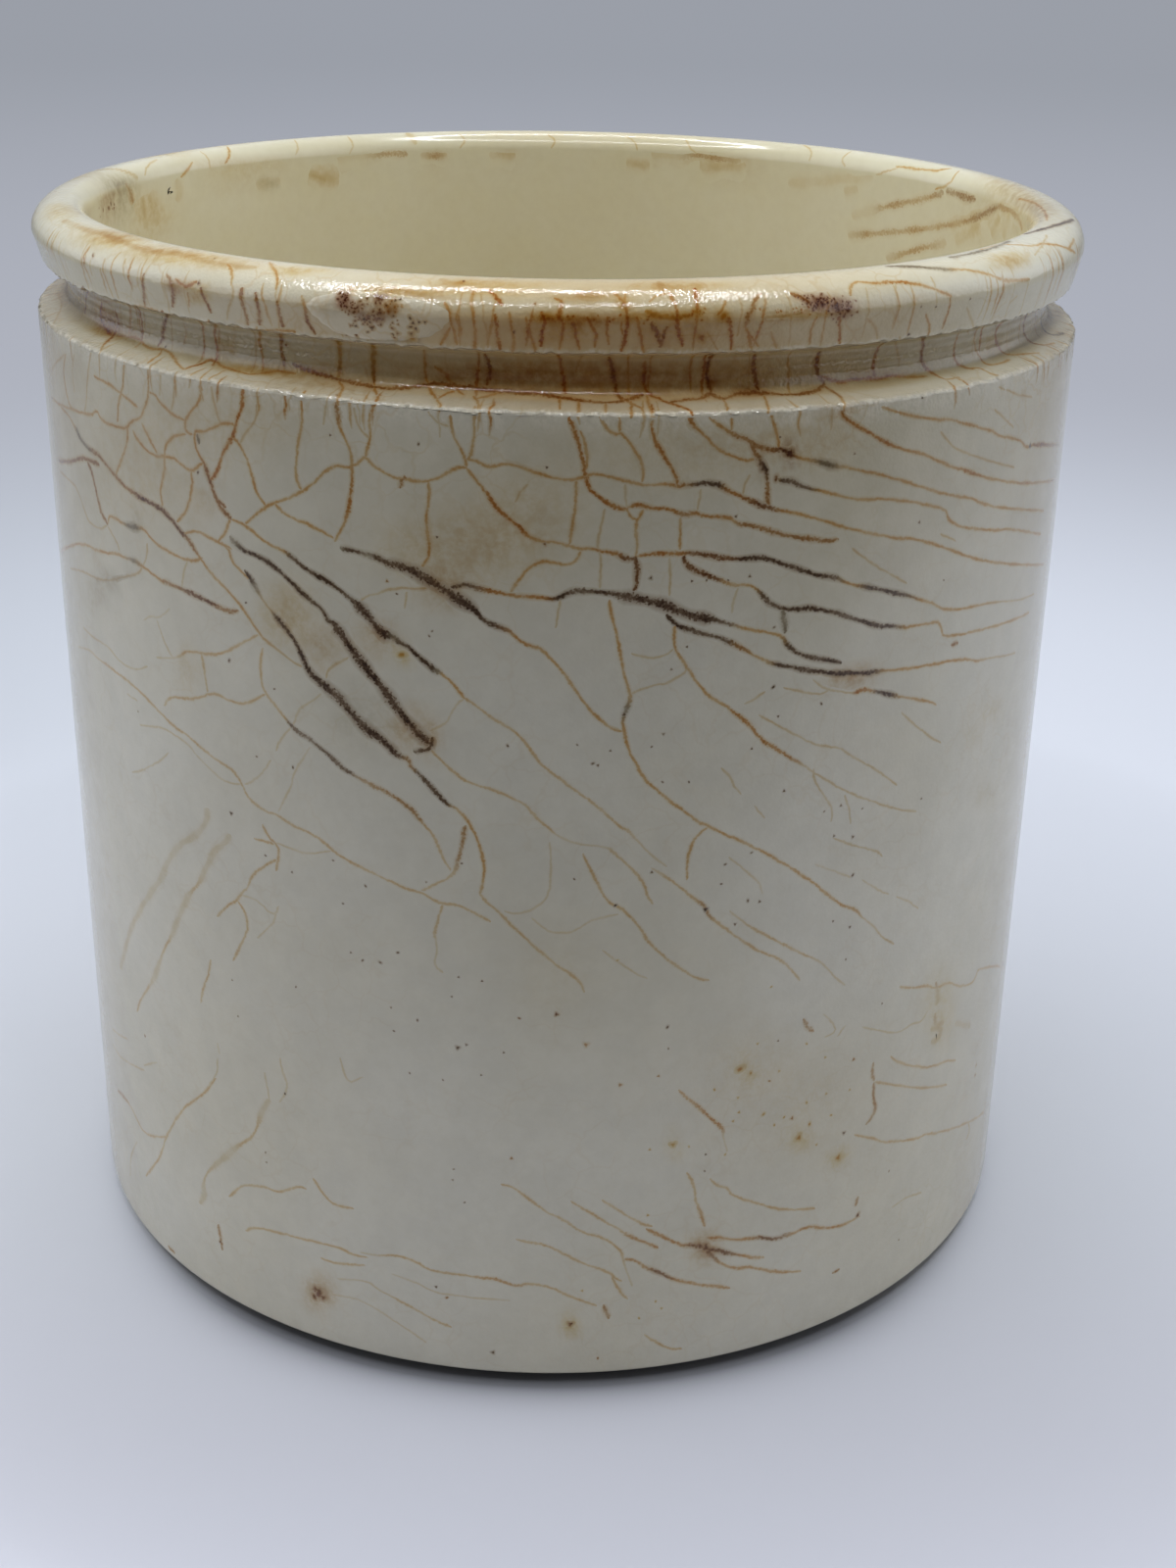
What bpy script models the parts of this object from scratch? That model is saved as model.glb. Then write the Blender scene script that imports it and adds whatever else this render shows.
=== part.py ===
"""Marmalade jar: a straight-sided pot of glazed white earthenware, turned in one piece.

A thick collar rim stands over a narrow neck, in which the string of a paper cover was
tied. Below the neck a short shoulder runs out to the wall, which tapers very slightly to
an undercut heel and a flat foot ring. Metres, +Z up, origin at the centre of the foot.
"""

import math

import bpy
from mathutils import Vector

# Overall size
HEIGHT = 0.1000             # foot to the crest of the rim
RIM_RADIUS = 0.0485         # outer face of the collar rim
SHOULDER_RADIUS = 0.0485    # widest part of the body, at the shoulder's edge
HEEL_RADIUS = 0.04785       # lower end of the wall

# Collar rim
RIM_THICKNESS = 0.0051      # outer face to the mouth
CREST_INSET = 0.0017        # mouth to the highest ring of the rim
RIM_OUTER_DROP = 0.0025     # crest to the top of the outer face
RIM_INNER_DROP = 0.0019     # crest to the start of the inner wall
RIM_FACE_HEIGHT = 0.0029    # outer face, between its rounded top and its lower edge
RIM_FACE_TAPER = 0.0007     # how far the outer face runs in towards its lower edge
RIM_EDGE_ROUND = 0.00025

# Neck and shoulder
NECK_DEPTH = 0.0028         # neck, in from the rim's outer face
RIM_UNDERCUT = 0.0007       # how far the rim's underside falls towards the neck
NECK_HEIGHT = 0.0030        # rim's underside to the shoulder, along the neck
SHOULDER_DROP = 0.0007      # fall of the shoulder from the neck to its edge
NECK_UPPER_ROUND = 0.0008
NECK_LOWER_ROUND = 0.0012
SHOULDER_EDGE_ROUND = 0.0003

# Wall and inside
WALL_THICKNESS = 0.0052     # at the heel
FLOOR_THICKNESS = 0.0060
INSIDE_CORNER_ROUND = 0.0080

# Heel and foot
HEEL_HEIGHT = 0.0015        # foot to the lower edge of the wall
HEEL_UNDERCUT = 0.0021      # how far the heel runs in from the wall to the foot ring
HEEL_EDGE_ROUND = 0.00035
FOOT_WIDTH = 0.0045         # flat ring that the jar stands on
FOOT_RECESS = 0.0009        # hollow inside the foot ring
RECESS_ROUND = 0.0012

# Fineness of the turned surface
TURN_STEPS = 64
CREST_STEPS = 6
LARGE_ROUND_STEPS = 7
SMALL_ROUND_STEPS = 3
SHARP_ANGLE = math.radians(35.0)
AXIS_MERGE = 0.00001

GLAZE_COLOUR = (0.62, 0.60, 0.49, 1.0)
GLAZE_ROUGHNESS = 0.22


def clear_scene():
    """Remove every object, so that the scene holds the jar alone."""
    for scene_object in list(bpy.data.objects):
        bpy.data.objects.remove(scene_object, do_unlink=True)


def rounded_corner(before, corner, after, radius, steps):
    """Return the points of a round of the given radius that replaces a corner.

    The round is limited by the shorter of the two sides that meet at the corner.
    """
    to_before = before - corner
    to_after = after - corner
    half_angle = to_before.angle(to_after) / 2.0
    reach = radius / math.tan(half_angle)
    longest = 0.48 * min(to_before.length, to_after.length)
    if reach > longest:
        radius *= longest / reach
        reach = longest
    start = corner + to_before.normalized() * reach
    end = corner + to_after.normalized() * reach
    middle = (to_before.normalized() + to_after.normalized()).normalized()
    centre = corner + middle * (radius / math.sin(half_angle))
    from_centre = start - centre
    turn = from_centre.angle_signed(end - centre)
    points = []
    for step in range(steps + 1):
        angle = -turn * step / steps
        cos_a = math.cos(angle)
        sin_a = math.sin(angle)
        points.append(centre + Vector((from_centre.x * cos_a - from_centre.y * sin_a,
                                       from_centre.x * sin_a + from_centre.y * cos_a)))
    return points


def quarter_ellipse(centre, across, up, start_angle, steps):
    """Return a quarter of an ellipse that turns clockwise from the start angle."""
    points = []
    for step in range(steps + 1):
        angle = start_angle - (math.pi / 2.0) * step / steps
        points.append(Vector((centre.x + across * math.cos(angle), centre.y + up * math.sin(angle))))
    return points


def rounded_line(corners):
    """Return the line through (point, radius, steps) corners, each rounded where it has a radius."""
    points = [corners[0][0]]
    for index in range(1, len(corners) - 1):
        corner, radius, steps = corners[index]
        if radius > 0.0:
            points += rounded_corner(corners[index - 1][0], corner, corners[index + 1][0], radius, steps)
        else:
            points.append(corner)
    points.append(corners[-1][0])
    return points


def inside_line():
    """Return the line from the middle of the floor out and up the inner wall to the mouth."""
    inner_radius = HEEL_RADIUS - WALL_THICKNESS
    mouth_radius = RIM_RADIUS - RIM_THICKNESS
    return rounded_line([
        (Vector((0.0, FLOOR_THICKNESS)), 0.0, 0),
        (Vector((inner_radius, FLOOR_THICKNESS)), INSIDE_CORNER_ROUND, LARGE_ROUND_STEPS),
        (Vector((mouth_radius, HEIGHT - RIM_INNER_DROP)), 0.0, 0),
    ])


def rim_top_line():
    """Return the rim's rounded top, from the mouth over the crest to the outer face."""
    crest_radius = RIM_RADIUS - RIM_THICKNESS + CREST_INSET
    inner = quarter_ellipse(Vector((crest_radius, HEIGHT - RIM_INNER_DROP)),
                            CREST_INSET, RIM_INNER_DROP, math.pi, CREST_STEPS)
    outer = quarter_ellipse(Vector((crest_radius, HEIGHT - RIM_OUTER_DROP)),
                            RIM_RADIUS - crest_radius, RIM_OUTER_DROP, math.pi / 2.0, CREST_STEPS)
    return inner[1:] + outer[1:]


def outside_line():
    """Return the line from the rim's outer face down the outside and under the foot to the axis."""
    rim_face_top = HEIGHT - RIM_OUTER_DROP
    rim_edge = rim_face_top - RIM_FACE_HEIGHT
    rim_edge_radius = RIM_RADIUS - RIM_FACE_TAPER
    neck_radius = RIM_RADIUS - NECK_DEPTH
    neck_top = rim_edge - RIM_UNDERCUT
    neck_foot = neck_top - NECK_HEIGHT
    shoulder_edge = neck_foot - SHOULDER_DROP
    foot_radius = HEEL_RADIUS - HEEL_UNDERCUT
    recess_radius = foot_radius - FOOT_WIDTH
    line = rounded_line([
        (Vector((RIM_RADIUS, rim_face_top)), 0.0, 0),
        (Vector((rim_edge_radius, rim_edge)), RIM_EDGE_ROUND, SMALL_ROUND_STEPS),
        (Vector((neck_radius, neck_top)), NECK_UPPER_ROUND, SMALL_ROUND_STEPS),
        (Vector((neck_radius, neck_foot)), NECK_LOWER_ROUND, SMALL_ROUND_STEPS),
        (Vector((SHOULDER_RADIUS, shoulder_edge)), SHOULDER_EDGE_ROUND, SMALL_ROUND_STEPS),
        (Vector((HEEL_RADIUS, HEEL_HEIGHT)), HEEL_EDGE_ROUND, SMALL_ROUND_STEPS),
        (Vector((foot_radius, 0.0)), 0.0, 0),
        (Vector((recess_radius, 0.0)), 0.0, 0),
        (Vector((recess_radius - FOOT_RECESS, FOOT_RECESS)), RECESS_ROUND, SMALL_ROUND_STEPS),
        (Vector((0.0, FOOT_RECESS)), 0.0, 0),
    ])
    return line[1:]


def glaze_material():
    """Return the cream glaze that covers the whole jar."""
    material = bpy.data.materials.new("cream_glaze")
    material.use_nodes = True
    shader = material.node_tree.nodes["Principled BSDF"]
    shader.inputs["Base Color"].default_value = GLAZE_COLOUR
    shader.inputs["Roughness"].default_value = GLAZE_ROUGHNESS
    shader.inputs["Metallic"].default_value = 0.0
    return material


def turned_solid(name, profile, material, collection):
    """Turn a profile once round the Z axis and return the finished object."""
    line = bpy.data.meshes.new(name + "_profile")
    vertices = [(point.x, 0.0, point.y) for point in profile]
    edges = [(index, index + 1) for index in range(len(profile) - 1)]
    line.from_pydata(vertices, edges, [])
    solid = bpy.data.objects.new(name, line)
    collection.objects.link(solid)

    screw = solid.modifiers.new("turn", "SCREW")
    screw.axis = "Z"
    screw.angle = 2.0 * math.pi
    screw.steps = TURN_STEPS
    screw.render_steps = TURN_STEPS
    screw.use_merge_vertices = True
    screw.merge_threshold = AXIS_MERGE

    graph = bpy.context.evaluated_depsgraph_get()
    turned = bpy.data.meshes.new_from_object(solid.evaluated_get(graph))
    turned.name = name
    solid.modifiers.clear()
    solid.data = turned
    bpy.data.meshes.remove(line)
    turned.shade_smooth()
    turned.set_sharp_from_angle(angle=SHARP_ANGLE)
    turned.materials.append(material)
    return solid


def build():
    """Build the jar in a collection of its own."""
    clear_scene()
    collection = bpy.data.collections.new("marmalade_jar")
    bpy.context.scene.collection.children.link(collection)
    profile = inside_line() + rim_top_line() + outside_line()
    turned_solid("jar_body", profile, glaze_material(), collection)


build()
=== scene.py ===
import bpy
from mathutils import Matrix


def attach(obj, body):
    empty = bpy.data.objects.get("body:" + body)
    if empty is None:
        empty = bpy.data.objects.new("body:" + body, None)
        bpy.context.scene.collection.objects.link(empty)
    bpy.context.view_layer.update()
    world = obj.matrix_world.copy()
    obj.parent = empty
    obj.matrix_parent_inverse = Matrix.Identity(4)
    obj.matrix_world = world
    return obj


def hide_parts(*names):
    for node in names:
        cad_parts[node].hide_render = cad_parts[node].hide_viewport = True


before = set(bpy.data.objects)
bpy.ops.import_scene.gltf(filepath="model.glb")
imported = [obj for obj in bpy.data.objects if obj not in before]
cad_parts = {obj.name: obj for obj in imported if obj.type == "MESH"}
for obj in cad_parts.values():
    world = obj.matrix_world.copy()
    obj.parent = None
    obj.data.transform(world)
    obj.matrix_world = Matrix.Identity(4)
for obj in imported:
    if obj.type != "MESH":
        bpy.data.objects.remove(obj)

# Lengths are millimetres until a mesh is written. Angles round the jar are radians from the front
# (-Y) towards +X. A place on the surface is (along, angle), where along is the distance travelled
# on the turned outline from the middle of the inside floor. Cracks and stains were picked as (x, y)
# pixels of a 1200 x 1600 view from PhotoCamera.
"""Looks of a marmalade jar: a turned pot under a crazed, age-stained cream glaze.

Lengths are millimetres until a mesh is written. Angles round the jar are radians from the
front (-Y) towards +X. A place on the surface is (along, angle), where along is the distance
travelled on the turned outline from the middle of the inside floor. Cracks and stains were
picked by eye as (x, y) pixels of a 1200 x 1600 view from PhotoCamera.
"""

import logging
import math
from collections.abc import Iterable
from dataclasses import dataclass
from enum import Enum

import bpy
import numpy as np
from mathutils import Matrix

Array = np.ndarray
Colour = tuple[float, float, float]
Material = bpy.types.Material
Mesh = bpy.types.Mesh
Piece = bpy.types.Object
Socket = bpy.types.NodeSocket

LOG = logging.getLogger("marmalade_jar")
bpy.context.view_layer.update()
MM = 0.001
NODE = "jar_body"
FULL_TURN = 2.0 * math.pi
TINY = 1e-6
# The back's cracks and stains are the front's, mirrored about the first angle and spread out
BACK_CENTRE = math.pi + 0.12
BACK_SPREAD = -1.08
# Only what starts this far outside the rim's crest is repeated at the back
BACK_START = 1.5


@dataclass(frozen=True)
class Soak:
    """What has soaked into a crack, as the light that still comes through its darkest line."""

    half_width: float
    lift: float
    grit: float
    through: Colour


class Ink(Enum):
    """Kinds of crack, from a pale ochre hairline to a wide, gritty split."""

    FAINT = Soak(0.27, 0.010, 0.45, (0.88, 0.77, 0.61))
    AMBER = Soak(0.31, 0.012, 0.75, (0.80, 0.58, 0.34))
    RUST = Soak(0.36, 0.015, 1.15, (0.66, 0.38, 0.17))
    BROWN = Soak(0.42, 0.014, 1.15, (0.54, 0.33, 0.17))
    UMBER = Soak(0.43, 0.018, 1.3, (0.31, 0.17, 0.09))
    DARK = Soak(0.42, 0.019, 1.1, (0.22, 0.155, 0.11))
    BLACK = Soak(0.76, 0.024, 1.1, (0.17, 0.11, 0.075))
    GREY = Soak(0.55, 0.015, 0.7, (0.45, 0.40, 0.33))
    SOFT = Soak(0.90, 0.009, 0.2, (0.86, 0.76, 0.61))
    OLIVE = Soak(0.50, 0.013, 0.6, (0.71, 0.48, 0.19))
    MAUVE = Soak(0.50, 0.014, 0.9, (0.36, 0.21, 0.16))


FAINT, AMBER, RUST, BROWN, UMBER, DARK, BLACK, GREY, SOFT, OLIVE, MAUVE = Ink
Stroke = tuple[Ink | float, ...]

# Cracks on the upper left of the wall
UPPER_LEFT: tuple[Stroke, ...] = (
    (AMBER, 52,404, 60,412, 72,417, 92,423, 99,420, 103,427, 112,433, 122,436, 129,436, 135,430,
     143,426, 148,415, 151,405, 152,375),
    (AMBER, 67,362, 65,380, 70,410, 75,418),
    (FAINT, 66,362, 56,372, 52,380),
    (FAINT, 75,362, 74,380, 76,400),
    (FAINT, 93,358, 89,390, 88,412, 86,420),
    (AMBER, 96,384, 114,394, 140,415),
    (AMBER, 128,368, 125,395, 121,412, 120,430),
    (AMBER, 152,400, 158,403, 163,410, 178,424, 189,429),
    (AMBER, 206,386, 205,402, 202,411, 191,425, 189,432, 190,440, 196,443),
    (FAINT, 165,378, 163,403),
    (FAINT, 180,380, 177,410, 175,418),
    (FAINT, 216,388, 223,428, 226,434),
    (AMBER, 199,440, 208,440, 226,433, 234,432, 239,434, 241,438),
    (RUST, 249,395, 246,418, 242,428, 240,438, 237,446, 228,462, 221,482, 214,490),
    (FAINT, 265,398, 261,425, 258,433, 252,440, 245,452),
    (AMBER, 237,446, 243,452, 248,460, 252,468, 262,502, 268,512, 272,516),
    (AMBER, 311,400, 308,430, 304,455, 302,480, 304,493, 308,500),
    (AMBER, 189,443, 182,444, 176,447, 170,453, 168,460, 168,478, 164,500, 166,516),
    (AMBER, 145,433, 160,462),
    (AMBER, 136,440, 140,448, 147,457, 155,463, 162,466, 170,466, 178,468, 190,478, 195,480,
     200,478, 204,474, 208,473),
    (AMBER, 199,440, 199,450, 201,460, 206,469, BROWN, 210,477, 222,512, 236,530),
    (GREY, 201,443, 203,452),
    (BROWN, 219,508, 230,517),
    (AMBER, 195,480, 196,492, 195,504, 192,515, 188,524, 181,532),
    (AMBER, 130,436, 130,447, 128,458, 118,485),
    (BROWN, 89,470, 94,483, 103,521, 110,535),
    (FAINT, 61,480, 76,495, 81,505, 90,530, 97,537, 104,539, 109,536),
    (BROWN, 60,470, 72,471, 82,468, 90,469, 101,474),
    (AMBER, 62,415, 70,424, 76,435, GREY, 78,438, 82,447, 89,456, BROWN, 97,462, 102,466, 127,496,
     135,502, UMBER, 142,507, 166,521, 187,545, BROWN, 192,550, 198,560, AMBER, 204,569, 218,588,
     230,600, 247,620, 266,648, 273,655, FAINT, 282,662, 300,676, 308,680),
    (AMBER, 187,545, 199,542, 207,545, 236,560),
    (AMBER, 110,535, 112,527, 118,529, 124,533, GREY, 130,536, 138,538, AMBER, 146,540, 160,555,
     180,567, 190,571, 200,572, 206,569),
    (FAINT, 110,537, 120,555, 122,562),
    (AMBER, 62,563, 70,558, 80,555, 90,557, 98,561, 108,564, 118,565, 126,568, GREY, 136,572, AMBER,
     146,578, 164,592, BROWN, 170,594, 180,599, UMBER, 190,603, 217,616, BROWN, 225,620, 235,624,
     243,623),
    (FAINT, 72,580, 84,583, 106,592, 134,587, 142,584, 150,566, 150,555),
    (FAINT, 191,573, 186,592, 186,600),
    (AMBER, 236,530, 250,536, 268,551, 288,562, DARK, 297,568, 316,583, 340,597, 360,613, BLACK,
     368,620, 383,638, 391,646, 397,649, GREY, 400,649, DARK, 408,656, 416,660, 440,681, GREY,
     447,686, AMBER, 452,689, 460,695, 474,713),
    (AMBER, 250,535, 272,517, 297,507, 315,497, 332,481, 337,478, 345,475, 355,477, 363,474,
     373,467, 380,474, 390,481, 407,489, 413,488, 422,491, 441,490, 468,477, 476,478),
    (AMBER, 280,513, 286,520, 294,526, 303,531, 313,534, 340,549),
    (AMBER, 236,530, 232,536, 230,543, 222,553),
    (GREY, 235,548, 240,554, DARK, 248,561, 266,569, 282,580, 316,612, 324,618, 330,624, 336,634,
     342,637, BLACK, 345,643, 376,685, 392,704, 416,736, 440,760, DARK, 441,753),
    (AMBER, 234,560, 236,570, 242,579, 256,592, 262,600),
    (DARK, 250,583, 256,590, GREY, 260,598, FAINT, 268,612, 276,622, DARK, 282,630, 298,650,
     304,660, 313,680, BLACK, 320,690, 345,711, 360,729, 376,745, 392,757, 400,765, DARK, 408,772,
     BROWN, 416,775, 420,783, DARK, 426,788, 456,820, AMBER, 465,825, 473,832, 480,842, 489,862,
     494,884, 493,898, 490,912),
    (GREY, 423,767, DARK, 430,766, 438,764, 440,757),
    (AMBER, 226,553, 234,562),
)
# Cracks on the upper middle of the wall
UPPER_CENTRE: tuple[Stroke, ...] = (
    (BROWN, 345,402, 345,424, AMBER, 347,436, 356,457, 359,468, 359,480, RUST, 359,492, 356,518,
     353,528, AMBER, 350,537, 342,552),
    (BROWN, 409,497, 410,490, 416,488),
    (FAINT, 361,415, 363,427, 368,438, 378,448),
    (AMBER, 383,410, 377,430, 378,443, 373,466),
    (GREY, 348,560, DARK, 357,561, 366,563, GREY, 374,566, DARK, 384,569, 392,573, BLACK, 400,575,
     410,578, 430,587, 482,621, DARK, 488,628, 504,638, UMBER, 515,642, RUST, 525,649, 533,655,
     541,659, AMBER, 552,663, 572,683, 600,722, 618,739, 625,744, 635,746),
    (DARK, 460,600, 470,597, 480,597, UMBER, 490,601, RUST, 500,603, 528,608, 555,610, DARK,
     568,611, 578,606, 590,603, 628,606, BLACK, 640,609, 675,616, 695,625, 718,631, DARK, 730,633,
     745,637, AMBER, 758,641, 797,649, DARK, 804,659, 818,668, 858,676),
    (AMBER, 437,492, 438,505, 435,532, 438,558, 437,568, 430,579),
    (AMBER, 476,478, 490,495, RUST, 498,505, 505,516, 533,541, AMBER, 543,549, 556,553, 570,554,
     592,560, 604,560, RUST, 612,562, 630,565, UMBER, 636,569, 645,571, 648,568),
    (AMBER, 474,468, 488,471, 497,476, 520,474, 562,487, 575,489, 588,489, 604,484, 616,485,
     652,494, 664,495, 676,494, RUST, 690,495, BROWN, 700,495, DARK, 710,494, 722,493, 735,495,
     BROWN, 740,499, RUST, 750,504, BROWN, 762,509, UMBER, 775,515, 787,519, RUST, 798,521, AMBER,
     808,523, 836,530, 865,539, 915,549, 932,550, 958,557, 995,570, 1025,575, 1065,576),
    (AMBER, 485,415, 484,442, 482,455, 480,465, 476,470),
    (AMBER, 460,423, 461,435, 464,447, 474,466, 476,476),
    (FAINT, 436,418, 442,427, 450,432, 458,435),
    (RUST, 580,423, 592,458, 599,492, 604,501, 620,513, 630,518, 640,520),
    (AMBER, 592,440, 597,452, 599,465, 598,480),
    (AMBER, 588,490, 587,516, 581,556),
    (AMBER, 592,562, 590,569, 583,575, 575,576, 555,573, 545,576, 538,581, 521,604),
    (AMBER, 610,424, 622,440, 630,443, 634,442, 648,460, 654,470, 656,482, 655,492),
    (AMBER, 632,425, 632,440),
    (FAINT, 617,520, 611,548, 610,558, 613,570, 612,600),
    (FAINT, 538,495, 531,503, 526,512),
    (FAINT, 435,600, 425,601, 410,600, 395,602, 385,606, 375,608, 368,613),
    (FAINT, 415,605, 413,620),
    (FAINT, 355,671, 336,683, 333,692),
    (FAINT, 572,612, 567,640),
    (AMBER, 622,613, 624,627, 631,655, 636,685, 643,710, GREY, 640,722, 637,729, AMBER, 636,740,
     638,752, 643,768, 655,790, 664,801, 686,819, 708,835, 720,842, 780,870, 830,901, 852,919,
     863,925, 872,928, FAINT, 880,936, 892,946, 900,956, 912,963),
    (FAINT, 620,740, 632,744),
)
# Cracks on the upper right of the wall
UPPER_RIGHT: tuple[Stroke, ...] = (
    (RUST, 640,520, 642,517, 650,515, 668,519, 680,519, 688,522, BROWN, 698,525, RUST, 710,524,
     722,527, 742,528, AMBER, 750,532, BROWN, 754,535, 765,536, 778,539, 792,544, 835,551, 845,552,
     855,550),
    (AMBER, 640,520, 644,528, 650,530, 656,520),
    (AMBER, 650,530, 649,540, 650,562, 648,568),
    (RUST, 648,568, 668,565, 695,565, UMBER, 705,564, 745,570, DARK, 760,570, 775,569, 785,571,
     832,586, 853,590, AMBER, 865,595, 872,597, DARK, 885,599, 922,607, AMBER, 940,612, 952,616,
     962,621, 975,622, 1006,616, FAINT, 1020,614, 1040,612, 1055,606),
    (UMBER, 697,567, 699,573, 704,579, 732,591, RUST, 740,594, AMBER, 750,597, 762,597, 770,600,
     DARK, 777,606, 783,613, 790,618, 798,621, 838,622, 890,637, 902,639, 912,639, AMBER, 925,640,
     956,635, 960,640, 962,647, 968,649, 977,648, 1003,642, 1040,630, 1050,625),
    (UMBER, 648,568, 650,578, 650,588, 649,597, 646,603),
    (DARK, 680,627, 690,637, 702,642, 722,648, 733,650, 742,654, BROWN, 752,659, 760,663, AMBER,
     770,669, 780,674, DARK, 793,678, 840,686, 862,687, 890,686, AMBER, 905,684, 920,683, 972,674,
     985,673, 998,674, FAINT, 1012,671, 1026,669, 1036,666),
    (GREY, 799,621, 801,645),
    (RUST, 664,412, 665,435, 668,447, 673,458, 690,487, 690,495),
    (AMBER, 704,420, RUST, 706,432, AMBER, 714,439, 730,456, 740,462, 762,470, 770,468),
    (AMBER, 722,424, 740,438, BROWN, 752,445, 762,448, 768,453, 775,456, 787,459, UMBER, 798,459,
     806,463, AMBER, 815,467, 825,469, GREY, 838,472, 850,475, AMBER, 863,477, 908,487, 964,504,
     992,509, 1003,514, 1015,517, 1065,521, 1078,520),
    (AMBER, 745,420, 747,430, 746,440),
    (BROWN, 765,448, 772,465, DARK, 778,474, 782,482, BROWN, 783,495, 783,508, 785,517),
    (AMBER, 784,418, 792,440, 794,450, 794,458),
    (AMBER, 792,488, DARK, 798,490, 808,491, 815,495, 825,498, AMBER, 838,501, 866,508, 882,510,
     900,509, 935,513, 965,521, 967,528, 973,534, 984,538, 1015,541, 1030,540, 1062,545, 1075,545),
    (RUST, 862,413, 859,421, 866,429, 907,453, AMBER, 920,458, 943,464, 968,475, RUST, 982,479,
     993,483, AMBER, 1005,487, 1032,492, RUST, 1048,493, AMBER, 1062,492, 1075,490),
    (AMBER, 900,415, 925,423, 955,428, 968,428, 980,431, 1012,440, 1021,445, 1033,447, 1041,450,
     1048,456, BROWN, 1055,454, 1068,454, FAINT, 1082,454),
    (FAINT, 765,485, 760,495, 758,505),
    (FAINT, 715,500, 712,520),
    (AMBER, 694,528, 694,560),
    (FAINT, 638,495, 638,505, 640,518),
    (FAINT, 753,600, 749,612, 747,625),
    (FAINT, 683,570, 684,590, 683,608),
    (AMBER, 690,636, 688,645, 688,655, 690,664, 721,708, 740,720, RUST, 750,728, 760,735, 777,754,
     808,774, FAINT, 820,781, 830,788, 865,808, 900,821, 918,826, 935,828),
    (FAINT, 643,708, 668,699, 680,697, 690,692, 700,685, 703,681),
    (FAINT, 645,667, 655,670, 667,671, 680,668, 687,662),
    (AMBER, 722,844, 708,857, 703,872, 701,885, 701,897),
    (FAINT, 830,694, 838,700, 846,704, 870,707, RUST, 872,707, 880,704, 890,705, DARK, 893,705,
     908,709, AMBER, 920,711, 948,716, 955,719),
    (FAINT, 800,702, 825,707, 838,708, 846,704),
    (FAINT, 775,730, 812,750, 834,760, 858,764, 868,771, 893,785, 915,801),
    (FAINT, 736,784, 745,793, 750,803, 756,810),
    (FAINT, 770,823, 780,834),
    (FAINT, 830,785, 832,798, 845,818, 849,828, 848,838),
    (FAINT, 862,812, 866,825, 868,840),
    (FAINT, 760,718, 772,712, 780,706),
    (FAINT, 850,855, 872,863, 895,869, 900,874),
    (FAINT, 870,560, 890,575, 925,595),
    (FAINT, 960,441, 972,455, 980,460, 1012,471, 1035,477),
    (FAINT, 1020,395, 1040,403, 1053,405),
    (FAINT, 1070,411, 1092,419),
    (FAINT, 1015,418, 1034,436),
    (FAINT, 960,545, 975,552),
    (FAINT, 920,727, 928,735, 948,751, 960,758),
    (BROWN, 971,658, 977,656),
)
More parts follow.
